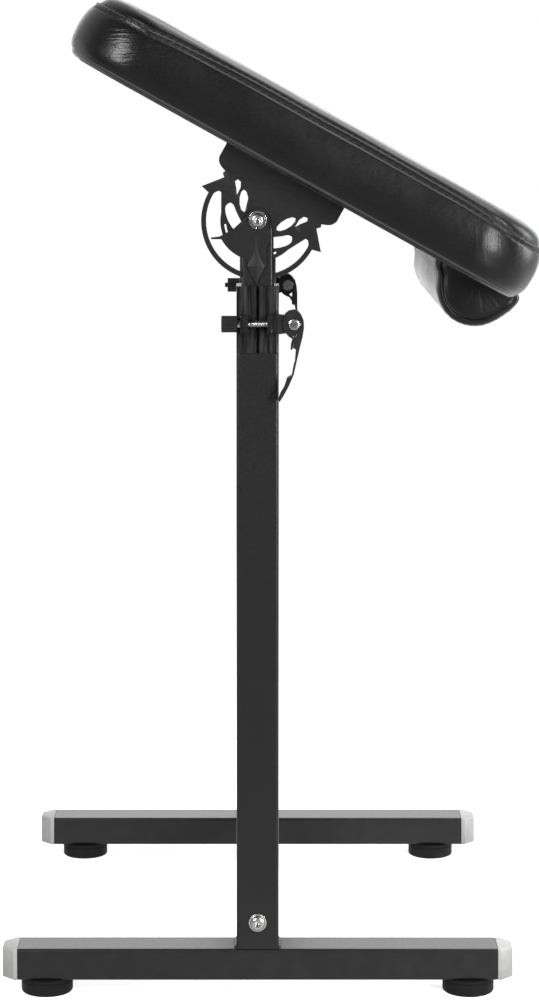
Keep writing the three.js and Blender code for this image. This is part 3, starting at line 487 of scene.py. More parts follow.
def zinc_metal():
    """Zinc plate: fine turning marks, a faint warm cast and duller patches."""
    finish = Finish("armrest_zinc")
    grain = finish.grouped(grain_group(), finish.coordinates(), Scale=180.0)
    red, green, blue = colours().zinc
    cast = finish.mix(grain["Cloud"], (red, green, blue), (red, green * 0.96, blue * 0.88))
    lines = finish.noise(finish.coordinates((300.0, 9000.0, 300.0)), 1.0, 2.0)
    gloss = finish.spread(grain["Speckle"], 0.2, 0.34)
    return finish.made(cast, gloss, finish.bump(lines, 0.15, 0.00005), metallic=1.0)


def moulded(name, base, rough, texture, strength, mirror=0.5):
    """Moulded plastic: a fine etched texture, faint flow marks and uneven gloss."""
    finish = Finish(name)
    vector = finish.coordinates()
    grain = finish.grouped(grain_group(), vector, Scale=60.0)
    gloss = finish.spread(grain["Cloud"], rough * 0.8, rough * 1.25)
    etched = finish.bump(finish.noise(vector, texture, 3.0, 0.6), strength, 0.0002)
    return finish.made(finish.clouded(grain, base, 0.9, 1.1), gloss, etched, mirror)


def streaked_plastic():
    """Glossy moulding with upright drag marks: a noise stretched along Z drives its bump, its gloss and a colour that
    is paler along the streaks, partly drag marks and partly painted reflection."""
    finish = Finish("armrest_gloss")
    streaks = finish.noise(finish.coordinates((210.0, 210.0, 14.0)), 1.0, 4.0, 0.6)
    # Paler streaks in the colour: partly drag marks, partly painted reflection
    streak_marks_and_sheen = finish.map_range(streaks, 0.42, 0.72)
    streaked_and_sheened = finish.mix(streak_marks_and_sheen, tint(colours().collar, 0.4), tint(colours().collar, 1.8))
    return finish.made(streaked_and_sheened, finish.spread(streaks, 0.16, 0.36), finish.bump(streaks, 0.5, 0.0016), 0.14)


def rubber_finish():
    """Matt rubber with a bloom of dust and a fine bump."""
    finish = Finish("armrest_rubber")
    vector = finish.coordinates()
    mask = finish.grouped(dust_group(), vector, Height=0.012, Amount=0.3)["Mask"]
    grain = finish.grouped(grain_group(), vector, Scale=90.0)
    dusty = finish.mix(mask, colours().rubber, (0.06, 0.058, 0.054))
    gloss = finish.spread(grain["Cloud"], 0.46, 0.62)
    return finish.made(dusty, gloss, finish.bump(grain["Speckle"], 0.25, 0.0002), 0.1)


def leather_finish():
    """Finished leather: pebble grain, slow undulation and a soft gloss that dulls in the valleys. Where the pieces
    carry a crease value, fine wrinkles run level over one end and upright over the other. Seams are darker and duller,
    and the same value makes the bolster's flank darker, as painted shade, and duller. A pale line along the pad's
    bottom edge is painted highlight."""
    finish = Finish("armrest_leather")
    vector = finish.coordinates()
    grain = finish.grouped(grain_group(), vector, Scale=9.0)
    pebbles = finish.grouped(pebble_group(), vector, Scale=620.0)["Height"]
    seam, edge_highlight, crease = (finish.attribute(name) for name in ("seam", "edge_highlight", "crease"))
    base = colours().leather
    crests = finish.map_range(pebbles, 0.35, 0.8)
    worn = finish.mix(crests, finish.clouded(grain, base, 0.85, 1.15), tint(base, 1.5))
    # Darker where the seam value lies: the seams, and the bolster's flank, where it is painted shade
    sewn = finish.mix(seam, worn, tint(base, 0.4))
    gloss = finish.map_range(pebbles, 0.3, 0.8, 0.35, 0.24)
    gloss = finish.math("ADD", gloss, finish.spread(grain["Cloud"], -0.03, 0.04))
    gloss = finish.math("ADD", gloss, finish.math("MULTIPLY", seam, 0.25))
    level = finish.noise(finish.coordinates((48.0, 48.0, 360.0)), 1.0, 3.0, 0.5)
    upright = finish.noise(finish.coordinates((200.0, 90.0, 22.0)), 1.0, 2.0, 0.5)
    low_end = finish.map_range(finish.split(vector)["X"], -0.02, 0.02)
    ridges = finish.add("Mix", {0: low_end, 2: level, 3: upright}).outputs[0]
    rolling = finish.bump(finish.noise(vector, 34.0, 3.0, 0.55), 0.3, 0.002)
    rolling = finish.bump(finish.math("MULTIPLY", ridges, crease), 0.45, 0.0025, rolling)
    grained = finish.bump(pebbles, 0.14, 0.0003, rolling)
    # Paler along the pad's bottom edge: a painted highlight
    return finish.made(finish.mix(edge_highlight, sewn, (0.055, 0.055, 0.055)), gloss, grained, 0.27)


def cloth_finish():
    """Pressed black lining: random fibres in two directions."""
    finish = Finish("armrest_lining")
    first = finish.noise(finish.coordinates((900.0, 5200.0, 900.0)), 1.0, 3.0)
    second = finish.noise(finish.coordinates((5200.0, 900.0, 5200.0)), 1.0, 3.0)
    fibres = finish.math("ADD", first, second)
    shade = finish.mix(finish.map_range(fibres, 0.7, 1.3), (0.012, 0.012, 0.013), (0.035, 0.035, 0.036))
    return finish.made(shade, finish.map_range(fibres, 0.7, 1.3, 0.98, 0.85), finish.bump(fibres, 0.4, 0.0003))


def wood_finish():
    """Plywood: growth rings stretched along X over pale wood."""
    finish = Finish("armrest_plywood")
    bands = finish.noise(finish.coordinates((6.0, 70.0, 70.0)), 1.0, 6.0, 0.6)
    shade = finish.mix(finish.map_range(bands, 0.35, 0.65), (0.36, 0.22, 0.11), (0.56, 0.38, 0.21))
    return finish.made(shade, finish.spread(bands, 0.6, 0.75), finish.bump(bands, 0.2, 0.0003))


def thread_finish():
    """Black sewing thread: a fine twist across its length."""
    finish = Finish("armrest_thread")
    twist = finish.noise(finish.coordinates((3500.0, 3500.0, 3500.0)), 1.0, 2.0)
    shade = finish.mix(twist, (0.012, 0.012, 0.012), (0.03, 0.03, 0.031))
    return finish.made(shade, finish.spread(twist, 0.4, 0.55), finish.bump(twist, 0.3, 0.0001), 0.25)


FINISHES = {
    "black_powder_coat": lambda: coated_metal("armrest_powder", colours().powder, rough=0.34, peel=0.22, dust=0.07),
    "black_plate": lambda: coated_metal("armrest_plate", colours().plate, rough=0.38, peel=0.16, dust=0.0),
    "zinc_steel": zinc_metal,
    "grey_plastic": lambda: moulded("armrest_grey", colours().cap, rough=0.5, texture=1500.0, strength=0.12),
    "black_plastic_gloss": streaked_plastic,
    "black_plastic_matt": lambda: moulded(
        "armrest_matt", colours().grip, rough=0.42, texture=1800.0, strength=0.14, mirror=0.15
    ),
    "black_rubber": rubber_finish,
    "black_leather": leather_finish,
    "black_cloth": cloth_finish,
    "plywood": wood_finish,
    "thread": thread_finish,
}
MADE_FINISHES = {}


def finish_of(slot):
    """The material of a slot, made on first use."""
    if slot not in MADE_FINISHES:
        MADE_FINISHES[slot] = FINISHES[slot]()
    return MADE_FINISHES[slot]


class ARMREST_OT_finishes(bpy.types.Operator):
    """Finishes of the nodes that keep their own shape"""

    bl_idname = "armrest.finishes"
    bl_label = "Finishes"

    def execute(self, context):
        for entry in frame["record"]["subparts"]:
            node = frame["nodes"][entry["node"]]
            node.data.materials.clear()
            node.data.materials.append(finish_of(entry["material_slot"]))
        return {"FINISHED"}


# Pieces


def refined(node, body, slot, width, angle=35.0, segments=2):
    """A merged copy of a node with its sharp edges rounded by a bevel; flat areas stay flat."""
    mesh = bmesh.new()
    mesh.from_mesh(frame["nodes"][node].data)
    bmesh.ops.remove_doubles(mesh, verts=mesh.verts, dist=2e-6)
    bmesh.ops.dissolve_limit(mesh, angle_limit=math.radians(0.6), verts=mesh.verts, edges=mesh.edges)
    copy = bpy.data.meshes.new(f"{node}_refined")
    mesh.to_mesh(copy)
    mesh.free()
    copy.shade_smooth()
    copy.set_sharp_from_angle(angle=math.radians(angle))
    piece = bpy.data.objects.new(copy.name, copy)
    bpy.context.scene.collection.objects.link(piece)
    bevel = piece.modifiers.new("rounded edges", "BEVEL")
    bevel.width = width
    bevel.segments = segments
    bevel.limit_method = "ANGLE"
    bevel.angle_limit = math.radians(angle)
    bevel.harden_normals = True
    bevel.miter_outer = "MITER_ARC"
    return settle(piece, body, slot, [node])


def node_tube(node, axis, wall=0.002):
    """The square tube that fills a node's box along an axis. A post's box is wider along X, by its weld beads."""
    low, high = (np.array(corner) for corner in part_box(node))
    half = (high - low) / 2
    if axis == "Z":
        half[0] = half[1]
    order = {"X": [2, 1, 0], "Y": [0, 2, 1], "Z": [0, 1, 2]}[axis]
    width, depth, reach = half[order]
    tube = square_tube(width * 2, depth * 2, wall, -reach, reach)
    return shell(tube[..., order] + (low + high) / 2, wrap_rows=True, poles=False)


def weld_bead(name, side, hand):
    """A bead along Y in the corner between a post and its rail. Its ring has a radius of the weld's leg that swells
    and shrinks along the bead as laid drops do, and both ends taper."""
    half = 0.0175
    along = np.linspace(-half, half, 61)
    turn = full_turn(14)
    drops = 1 + 0.1 * np.sin(along / 0.0011) + 0.05 * np.sin(along / 0.0031 + hand)
    ends = np.sqrt(np.clip(1 - (np.abs(along) / half) ** 6, 0.02, 1))
    radius = (sizes().weld_leg * 0.92 * drops * ends)[:, None]
    x = hand * (POST_HALF + radius * (0.1 + 0.75 * np.cos(turn)))
    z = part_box(f"{name}_post")[0].z + radius * (0.1 + 0.75 * np.sin(turn))
    y = np.repeat(along[:, None], len(turn), 1)
    return shell(on_side(np.stack([x, y, z], -1), side))


class ARMREST_OT_tubes(bpy.types.Operator):
    """Foot rails, posts with their weld beads, and the crossbar"""

    bl_idname = "armrest.tubes"
    bl_label = "Tubes"

    def execute(self, context):
        for name, side in SIDES:
            rail, post = f"{name}_foot_rail", f"{name}_post"
            make_piece(f"{name}_rail_tube", [node_tube(rail, "X")], "base", "black_powder_coat", [rail])
            shells = [node_tube(post, "Z"), *(weld_bead(name, side, hand) for hand in (-1, 1))]
            make_piece(f"{post}_tube", shells, "base", "black_powder_coat", [post])
        make_piece("crossbar_tube", [node_tube("crossbar", "Y")], "base", "black_powder_coat", ["crossbar"])
        return {"FINISHED"}


def foot_points(place):
    """A turned foot: a flared side with a lip at its top, ring grooves on its sole, and a stud."""
    height, radius, stud_radius, stud_length, groove = 0.015, 0.0252, 0.004, 0.012, 0.0007
    waist = radius - 0.0011
    sole = [(0.0, groove), (0.008, groove), (0.0085, 0.0), (0.012, 0.0)]
    sole += [(0.0125, groove), (0.016, groove), (0.0165, 0.0)]
    side = [(radius - 0.0021, 0.0), (radius - 0.0008, 0.0012), (radius - 0.0006, height - 0.0044)]
    side += [(waist, height - 0.004), (waist, height - 0.0034), (radius, height - 0.003), (radius, height)]
    stud = [(stud_radius, height), (stud_radius, height + stud_length), (0.0, height + stud_length)]
    return turned(soft_profile([*sole, *side, *stud], 0.0005), 64) + place


class ARMREST_OT_feet(bpy.types.Operator):
    """Rubber feet and the grey end caps of the rails"""

    bl_idname = "armrest.feet"
    bl_label = "Feet and end caps"

    def execute(self, context):
        for name, _ in SIDES:
            for hand in ("left", "right"):
                node = f"{name}_{hand}_foot"
                foot = shell(foot_points(middle_of(node) * (1, 1, 0)))
                make_piece(f"{node}_turned", [foot], "base", "black_rubber", [node])
                refined(f"{name}_{hand}_end_cap", "base", "grey_plastic", 0.0007, segments=3)
        return {"FINISHED"}


def socket_head_bolt(radius, head, height, socket, length):
    """A button-head bolt along -Z with its head's underside at zero: a dome whose radius and height follow a quarter
    ellipse, a hexagon socket, and a plain shank."""
    turn = np.linspace(0, math.pi / 2, 9)
    flat = socket * 1.35
    deep = height * 0.25
    dome = np.column_stack([flat + (head - flat) * np.sin(turn), height * (0.3 + 0.7 * np.cos(turn))])
    inner = [(0.0, deep), (socket * 0.94, deep), (socket, deep + 0.0003)]
    inner += [(socket, height - 0.0003), (socket * 1.06, height)]
    rim = [(head, height * 0.12), (head * 0.97, 0.0), (radius, 0.0)]
    rim += [(radius, 0.0005 - length), (radius - 0.0005, -length), (0.0, -length)]
    profile = np.vstack([inner, dome, soft_profile(rim, 0.0002)])
    share = np.zeros(len(profile))
    share[:5] = (1.0, 1.0, 1.0, 1.0, 0.8)
    return turned(profile, 48, 6, share)


def washer_section(inner, outer, thickness, rounding):
    """The section of a flat ring from zero up, with rounded rims."""
    corners = [(inner, 0.0), (outer, 0.0), (outer, thickness), (inner, thickness)]
    return soft_profile(corners, thickness * rounding, 3, True)


def washer_shell(inner, outer, thickness, place, side):
    """A flat washer on one side's outer face: its section is turned about its axis."""
    points = turned(washer_section(inner, outer, thickness, 0.22))
    return facing(points, "-Y", place, side, wrap_rows=True, poles=False)


def spring_washer_shell(inner, outer, thickness, place, side):
    """A split washer on one side's outer face: its section is carried round from one side of the gap to the other,
    rising a little."""
    gap, squeeze = 0.0012, 0.9
    section = washer_section(inner, outer, thickness, 0.18)
    half = gap / (inner + outer)
    angle = (np.linspace(half, 2 * math.pi - half, 61) - math.pi / 2)[:, None]
    lift = thickness * (1 - squeeze) * np.linspace(0, 1, 61)
    points = round_z(section[:, 0], angle, section[:, 1] * squeeze + lift[:, None])
    return facing(points, "-Y", place, side)


def pan_screw(radius, head, height, length):
    """A pan-head screw along -Z with a crossed recess: the head's top dips where the angle is near a slot."""
    slot_half, slot_reach, slot_depth = 0.0008, head * 0.62, height * 0.45
    profile = [(0.02 * head, height)]
    for turn in np.linspace(0, math.pi / 2, 10)[1:]:
        profile.append((head * math.sin(turn), height * math.cos(turn) ** 0.6))
    profile += [(head, -0.0001), (radius, -0.0002), (radius, radius - length), (0.0003, -length)]
    points = turned(profile, 64)
    across = np.minimum(np.abs(np.sin(full_turn(64))), np.abs(np.cos(full_turn(64))))
    spread = np.hypot(points[..., 0], points[..., 1])
    slot = (spread * across < slot_half) & (spread < slot_reach) & (points[..., 2] > 0.0)
    points[..., 2] -= np.where(slot, slot_depth, 0.0)
    return points


class ARMREST_OT_fasteners(bpy.types.Operator):
    """Bolts, washers, nuts and screws"""

    bl_idname = "armrest.fasteners"
    bl_label = "Fasteners"

    def stack(self, nodes, side, body, place, washer_maker, washer, bolt):
        """A washer on the outer face of one side at a place, and the bolt whose head sits on it."""
        washer_node, bolt_node = nodes
        ring = washer_maker(**washer, place=place, side=side)
        make_piece(f"{washer_node}_ring", [ring], body, "zinc_steel", [washer_node])
        seat = np.array(place) - (0, washer["thickness"], 0)
        shank = facing(socket_head_bolt(**bolt), "-Y", seat, side)
        make_piece(f"{bolt_node}_head", [shank], body, "zinc_steel", [bolt_node])

    def bracket_screw(self, node):
        """A pan-head screw from under the bracket into the pad, square to it, centred on its node."""
        length, past_middle = 0.0152, 0.0078
        axis = np.array([math.sin(TILT), 0, math.cos(TILT)])
        points = leaned(pan_screw(radius=0.003, head=0.006, height=0.0034, length=length) * (1, 1, -1))
        points = points + (middle_of(node) + axis * (past_middle - length))
        make_piece(f"{node}_pan", [shell(points)], "pad", "zinc_steel", [node])

    def execute(self, context):
        for name, side in SIDES:
            place = (0, -POST_HALF, middle_of("crossbar")[2])
            washer = dict(inner=0.0043, outer=0.0085, thickness=0.0016)
            bolt = dict(radius=0.004, head=0.0068, height=0.0044, socket=0.0026, length=0.0536)
            nodes = f"{name}_crossbar_washer", f"{name}_crossbar_bolt"
            self.stack(nodes, side, "base", place, washer_shell, washer, bolt)
            plate_face, behind_face = (0.017 if side < 0 else 0.015), 0.027
            place = (0, -plate_face, PIVOT_Z)
            washer = dict(inner=0.0043, outer=0.0085, thickness=0.002)
            bolt = dict(radius=0.004, head=0.0066, height=0.005, socket=0.0026, length=plate_face + behind_face)
            nodes = f"{name}_spring_washer", f"{name}_pivot_bolt"
            self.stack(nodes, side, "masts", place, spring_washer_shell, washer, bolt)
            refined(f"{name}_lock_nut", "masts", "zinc_steel", 0.0005)
            refined(f"{name}_crossbar_plug", "base", "zinc_steel", 0.0004)
            for hand in ("left", "right"):
                self.bracket_screw(f"{name}_{hand}_bracket_screw")
        return {"FINISHED"}


def threaded_rod(radius, pitch, start, end, smooth, shoulder):
    """A rod along Z whose radius dips by 0.45 of the pitch in a helix: the dip is a triangle wave of height over
    pitch less angle over a full turn, and its ends taper. Between both heights of smooth it is a plain shoulder."""
    rows = int((end - start) / pitch * 8)
    height = np.linspace(start, end, rows)[:, None]
    angle = full_turn(24)[None, :]
    wave = np.abs(2 * np.mod(height / pitch - angle / (2 * math.pi), 1.0) - 1)
    reach = np.clip(np.minimum(height - start, end - height) / (pitch * 1.2), 0, 1)
    rod = (radius - 0.45 * pitch * wave) * (0.75 + 0.25 * reach)
    rod = np.where((height > smooth[0]) & (height < smooth[1]), shoulder, rod)
    return round_z(rod, angle, height)


def knob_points(length, radius, depth, grooves):
    """A grooved knob along Z from zero: the radius is the grip's, less a cosine of the angle times the groove's depth,
    which fades out at both rounded ends."""
    hole, hole_depth = 0.0038, 0.001
    profile = [(0.0033, 0.0), (radius, 0.0), (radius, length)]
    profile += [(hole, length), (hole, length - hole_depth), (0.0, length - hole_depth)]
    profile = soft_profile(profile, 0.0012, 5)
    spread = profile[:, :1]
    fade = np.clip((spread - radius * 0.86) / (radius * 0.12), 0, 1)
    dip = depth * (0.5 - 0.5 * np.cos(full_turn(grooves * 8) * grooves)) ** 1.6 * fade
    shrink = 1 - dip / np.maximum(spread, 1e-6)
    return turned(profile, grooves * 8) * np.stack([shrink, shrink, np.ones_like(shrink)], -1)


def slotted_nut(radius, depth, dome, slot, slot_depth):
    """A round nut along Z with a domed, slotted end at zero. Each row is one height across the disc, a loop over the
    domed end and back over the flat one; rows just inside and outside the slot's edges make its walls."""
    edge, wall = slot / 2, 5e-5
    middle = [-edge - wall, -edge + wall, 0.0, edge - wall, edge + wall]
    heights = np.concatenate([np.linspace(-0.985, -0.3, 12) * radius, middle, np.linspace(0.3, 0.985, 12) * radius])
    turn = np.linspace(-math.pi / 2, math.pi / 2, 25)
    across = np.sqrt(radius**2 - heights**2)[:, None] * np.sin(turn)[None, :]
    spread = (across**2 + heights[:, None] ** 2) / radius**2
    front = -dome * spread**3 - slot_depth * (np.abs(heights) < edge)[:, None]
    rise = np.broadcast_to(heights[:, None], across.shape)
    outer = np.stack([across, rise, front], -1)
    inner = np.stack([across, rise, np.full_like(across, -depth)], -1)[:, ::-1]
    return np.concatenate([outer, inner], 1)


class ARMREST_OT_clamps(bpy.types.Operator):
    """Collars, clamp bolts, knobs, seats, barrel nuts and levers"""

    bl_idname = "armrest.clamps"
    bl_label = "Clamps"

    def rod(self, name, side):
        """The threaded clamp rod with its plain shoulder at the ear."""
        node = f"{name}_clamp_bolt"
        start, end = (corner.x - POST_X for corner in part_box(node))
        rod = threaded_rod(0.003, sizes().bolt_thread, start, end, smooth=(-0.0191, -0.0164), shoulder=0.0035)
        rod = facing(rod, "+X", (0, CLAMP_Y, CLAMP_Z), side)
        make_piece(f"{name}_clamp_rod", [rod], "base", "zinc_steel", [node])

    def knob(self, name, side):
        """The knob's grip, and at the rear the rod's end that shows in it."""
        node = f"{name}_clamp_knob"
        start, end = (corner.x - POST_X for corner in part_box(node))
        grip = knob_points(end - start, radius=0.0078, depth=0.0009, grooves=16)
        shells = [facing(grip, "-X", (end, CLAMP_Y, CLAMP_Z), side)]
        if side > 0:
            radius, length, inside = 0.0026, 0.0042, 0.0012
            tip = turned(soft_profile([(0.0, 0.0), (radius, 0.0), (radius, length), (0.0, length)], 0.0006), 24)
            shells.append(facing(tip, "-X", (start + inside, CLAMP_Y, CLAMP_Z), side))
        make_piece(f"{name}_knob_grip", shells, f"{name}_knob", "black_plastic_matt", [node])

    def nut(self, name, side):
        """The barrel nut's domed, slotted end."""
        node = f"{name}_barrel_nut"
        low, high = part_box(node)
        points = slotted_nut((high.x - low.x) / 2, high.y - low.y, dome=0.0011, slot=0.0018, slot_depth=0.0018)
        place = ((low.x + high.x) / 2 - POST_X, SIDE_Y - max(abs(low.y), abs(high.y)), CLAMP_Z)
        nut = make_piece(f"{name}_slotted_nut", [facing(points, "-Y", place, side)], "base", "zinc_steel", [node])
        nut.data.set_sharp_from_angle(angle=math.radians(32))

    def execute(self, context):
        for name, side in SIDES:
            refined(f"{name}_collar", "base", "black_plastic_gloss", 0.0008, segments=3)
            self.rod(name, side)
            self.knob(name, side)
            refined(f"{name}_clamp_seat", "base", "black_plastic_matt", 0.0005)
            self.nut(name, side)
            refined(f"{name}_clamp_lever", f"{name}_lever", "black_plastic_matt", 0.0006, angle=50.0)
        return {"FINISHED"}


# The spear: drops below the pivot and half widths, the middle from the post, and the face that it stands on
SPEAR = np.array([(9.5, 0.3), (26.0, 1.5), (32.0, 2.6), (38.0, 5.0), (43.5, 8.4), (51.0, 4.6), (59.0, 0.3)]) * MM
SPEAR_X, SPEAR_FACE = -0.0015, 0.01695


def spear_points():
    """A raised spear down the index plate's tail: each row is a flat-based ridge whose half width follows a table of
    drops below the pivot, and whose crest stands out by a share of that width."""
    drop = np.linspace(SPEAR[0, 0], SPEAR[-1, 0], 50)
    half = np.interp(drop, SPEAR[:, 0], SPEAR[:, 1])[:, None]
    across = np.array([-1.0, -0.92, -0.5, -0.1, 0.0, 0.1, 0.5, 0.92, 1.0, 0.5, -0.5])
    crest = np.array([0.0, 0.02, 0.06, 0.12, 0.13, 0.12, 0.06, 0.02, 0.0, -0.04, -0.04])
    x = SPEAR_X + half * across
    z = np.broadcast_to(PIVOT_Z - drop[:, None], x.shape)
    return np.stack([x, -SPEAR_FACE - half * crest, z], -1)


class ARMREST_OT_masts(bpy.types.Operator):
    """Masts, index plate and tilt plates"""

    bl_idname = "armrest.masts"
    bl_label = "Masts and tilt plates"

    def execute(self, context):
        for name, _ in SIDES:
            refined(f"{name}_mast", "masts", "black_powder_coat", 0.0004)
            refined(f"{name}_guide_plug", "masts", "black_plastic_matt", 0.0008)
            refined(f"{name}_tilt_plate", "pad", "black_plate", 0.0004)
        refined("index_plate", "masts", "black_plate", 0.0004)
        spear = make_piece("index_spear", [shell(on_side(spear_points(), -1))], "masts", "black_plate")
        spear.data.set_sharp_from_angle(angle=math.radians(25))
        return {"FINISHED"}


# Padded pieces, in the pad's own frame: along its slope, across, and square to it, from the pivot


PAD_MIDDLE = 8.5 * MM
PAD_HALF = (245.0 * MM, 300.0 * MM)
PAD_END_ROLL = 1.4
PAD_CORNER = 65.0 * MM
PAD_BOW = 3.0 * MM
PAD_BASE = 51.0 * MM
# The pad's side from the bottom up: insets from the outline, and heights above the base
PAD_SIDE = np.array(
    [
        (8.0, 0.0), (4.4, 4.7), (2.0, 9.8), (0.35, 16.2), (0.0, 21.6), (0.0, 31.0), (1.2, 40.4), (2.6, 46.0),
        (3.7, 49.5), (5.0, 52.5), (6.6, 55.0), (9.2, 59.3), (13.6, 63.5), (22.1, 66.3), (34.0, 67.4),
    ]
) * MM
PAD_CROWN = 2.0 * MM
# Rings of the underside, outwards, and of the crown, inwards, as shares of their outlines
UNDER_SHARES = (0.02, 0.4, 0.75, 0.95)
CROWN_SHARES = (0.97, 0.93, 0.88, 0.82, 0.74, 0.65, 0.55, 0.44, 0.32, 0.2, 0.1, 0.02)
SIDE_ROWS = 78
SIDE = slice(len(UNDER_SHARES), len(UNDER_SHARES) + SIDE_ROWS)
# The rest is in millimetres: heights above the pad's base, bell widths and depths
SEAM_HEIGHTS = (49.6, 54.8)
SEAM_WIDTH = 1.1
SEAM_ARCH = 7.0
PUCKER_WIDTH, PUCKER_DEPTH = 2.6, 0.4
RIDGE_WIDTH, RIDGE_RISE = 1.7, 0.5
FOLD = ((5.2, 1.0, 0.45), (2.4, 1.3, -0.7))
CREASE_HEIGHT, CREASE_WIDTH = 34, 15
CREASE_ENDS = ((-180, 34, 1.0), (195, 35, 0.3))
# Height and width of the painted highlight along the pad's bottom edge
EDGE_HIGHLIGHT_HEIGHT, EDGE_HIGHLIGHT_WIDTH = 3.4, 0.6
WAVE_DEPTH = 0.25


def side_curve(table, rows):
    """The table as a smooth curve: each coordinate is a cubic through its points over their spacing."""
    gaps = np.linalg.norm(np.diff(table, axis=0), axis=1)
    place = np.concatenate([[0], np.cumsum(gaps)])
    slope = np.gradient(table, place, axis=0)
    wanted = np.linspace(0, place[-1], rows)
    index = np.clip(np.searchsorted(place, wanted, side="right") - 1, 0, len(place) - 2)
    width = (place[index + 1] - place[index])[:, None]
    t = (wanted - place[index])[:, None] / width
    a, b, da, db = table[index], table[index + 1], slope[index] * width, slope[index + 1] * width
    return (2 * t**3 - 3 * t**2 + 1) * a + (t**3 - 2 * t**2 + t) * da + (3 * t**2 - 2 * t**3) * b + (t**3 - t**2) * db


def pad_outline(inset):
    """Plan of the pad at an inset: round corners, and sides that bow inwards by a sine between them."""
    radius = PAD_CORNER - inset
    reach = np.array([PAD_HALF[0] - inset * PAD_END_ROLL, PAD_HALF[1] - inset]) - radius
    centres = reach * np.array([(1, -1), (1, 1), (-1, 1), (-1, -1)])
    points = []
    for turn in range(4):
        angle = (turn - 1) * math.pi / 2 + np.linspace(0, math.pi / 2, 43)
        outward = np.column_stack([np.cos(angle), np.sin(angle)])
        arc = centres[turn] + radius * outward
        end = centres[(turn + 1) % 4] + radius * outward[-1]
        share = np.linspace(0, 1, (204, 150)[turn % 2] + 1)[1:-1, None]
        points += [arc, arc[-1] * (1 - share) + end * share - PAD_BOW * np.sin(math.pi * share) * outward[-1]]
    return np.vstack(points) + (PAD_MIDDLE, 0)


def pad_shape(shrink):
    """Grid of the pad. Rows run from the underside's middle, up the side curve, over the crown."""
    side = side_curve(PAD_SIDE, SIDE_ROWS)
    centre = np.array([PAD_MIDDLE, 0])
    under = pad_outline(side[0, 0] + shrink)
    rows = []
    for share in UNDER_SHARES:
        rows.append(np.column_stack([centre + (under - centre) * share, np.full(len(under), PAD_BASE + shrink)]))
    for inset, height in side:
        rise = PAD_BASE + max(height, shrink) - shrink * (height > side[-1, 1] * 0.8)
        rows.append(np.column_stack([pad_outline(inset + shrink), np.full(len(under), rise)]))
    top = rows[-1]
    for share in CROWN_SHARES:
        rise = PAD_CROWN * (1 - share**2)
        rows.append(np.column_stack([centre + (top[:, :2] - centre) * share, top[:, 2] + rise]))
    return np.array(rows)


def ring_normals(points):
    """Outward normals of a grid with wrapped columns, from the cross product of its two directions."""
    across = np.roll(points, -1, 1) - np.roll(points, 1, 1)
    normal = np.cross(across, np.gradient(points, axis=0))
    return normal / np.maximum(np.linalg.norm(normal, axis=2, keepdims=True), 1e-12)


def mesh_points(mesh):
    """A mesh's vertices as an array."""
    points = np.empty(len(mesh.vertices) * 3)
    mesh.vertices.foreach_get("co", points)
    return points.reshape(-1, 3)


def swelled(points, voxel, cap, pressure=4.0):
    """How far foam pushes each point of a closed grid: a coarse copy is blown up as cloth, and its moves, no longer
    than the cap, are carried to the points as averages weighted by a bell curve of distance."""
    vertices, quads, triangles = shell(points)
    piece = new_object("swell_copy", vertices, quads.tolist() + triangles.tolist())
    bpy.context.view_layer.objects.active = piece
    piece.select_set(True)
    remesh = piece.modifiers.new("voxels", "REMESH")
    remesh.mode = "VOXEL"
    remesh.voxel_size = voxel
    bpy.ops.object.modifier_apply(modifier=remesh.name)
    before = mesh_points(piece.data)
    cloth = piece.modifiers.new("foam", "CLOTH")
    cloth.settings.use_pressure = True
    cloth.settings.uniform_pressure_force = pressure
    cloth.settings.effector_weights.gravity = 0.0
    cloth.settings.tension_stiffness = 15
    cloth.settings.quality = 5
    scene, last_frame = bpy.context.scene, 20
    for number in range(1, last_frame + 1):
        scene.frame_set(number)
    after = mesh_points(piece.evaluated_get(bpy.context.evaluated_depsgraph_get()).data)
    scene.frame_set(1)
    bpy.data.objects.remove(piece)
    move = after - before
    move *= np.minimum(1.0, cap / np.maximum(np.linalg.norm(move, axis=1, keepdims=True), 1e-12))
    flat = points.reshape(-1, 3)
    carried = np.empty_like(flat)
    spread = (voxel * 1.6) ** 2
    batch = 1500
    for start in range(0, len(flat), batch):
        part = flat[start : start + batch]
        distance = (part**2).sum(1)[:, None] + (before**2).sum(1)[None] - 2 * part @ before.T
        weight = np.exp(-(distance - distance.min(1, keepdims=True)) / spread)
        carried[start : start + batch] = weight @ move / weight.sum(1, keepdims=True)
    return carried.reshape(points.shape)


def ring_lengths(ring):
    """Distance along a closed ring of points, from its first point, with the full length last."""
    steps = np.linalg.norm(np.roll(ring, -1, 0) - ring, axis=1)
    return np.concatenate([[0], np.cumsum(steps)])


def along_ring(ring, values, places):
    """Values given at a closed ring's points, read at places along its length."""
    lengths = ring_lengths(ring)
    closed = np.vstack([values, values[:1]])
    places = np.mod(places, lengths[-1])
    return np.column_stack([np.interp(places, lengths, closed[:, i]) for i in range(values.shape[1])])


def unit(vectors):
    """Vectors of length 1."""
    return vectors / np.linalg.norm(vectors, axis=1, keepdims=True)


def stitches(ring, normals, pitch, radius, start):
    """Thread stitches along a closed ring: each is a short tube whose middle stands out of the leather by a half sine
    and whose ends dive into it."""
    total = ring_lengths(ring)[-1]
    count = int(round(total / pitch))
    step = total / count
    turn = full_turn(5)[None, :, None]
    lift = np.sin(np.linspace(0.0, math.pi, 5))[:, None]
    ends = np.array([0.5, 0.95, 1.0, 0.95, 0.5])[:, None, None]
    shells = []
    for number in range(count):
        place = start + step * (number + np.linspace(0.12, 0.88, 5))
        outward = along_ring(ring, normals, place)
        line = along_ring(ring, ring, place) + outward * (lift * radius * 1.6 - radius * 0.7)
        across = unit(np.cross(np.gradient(line, axis=0), outward))
        offset = np.cos(turn) * across[:, None] + np.sin(turn) * outward[:, None]
        shells.append(shell(on_pad(line[:, None] + offset * radius * ends)))
    return shells


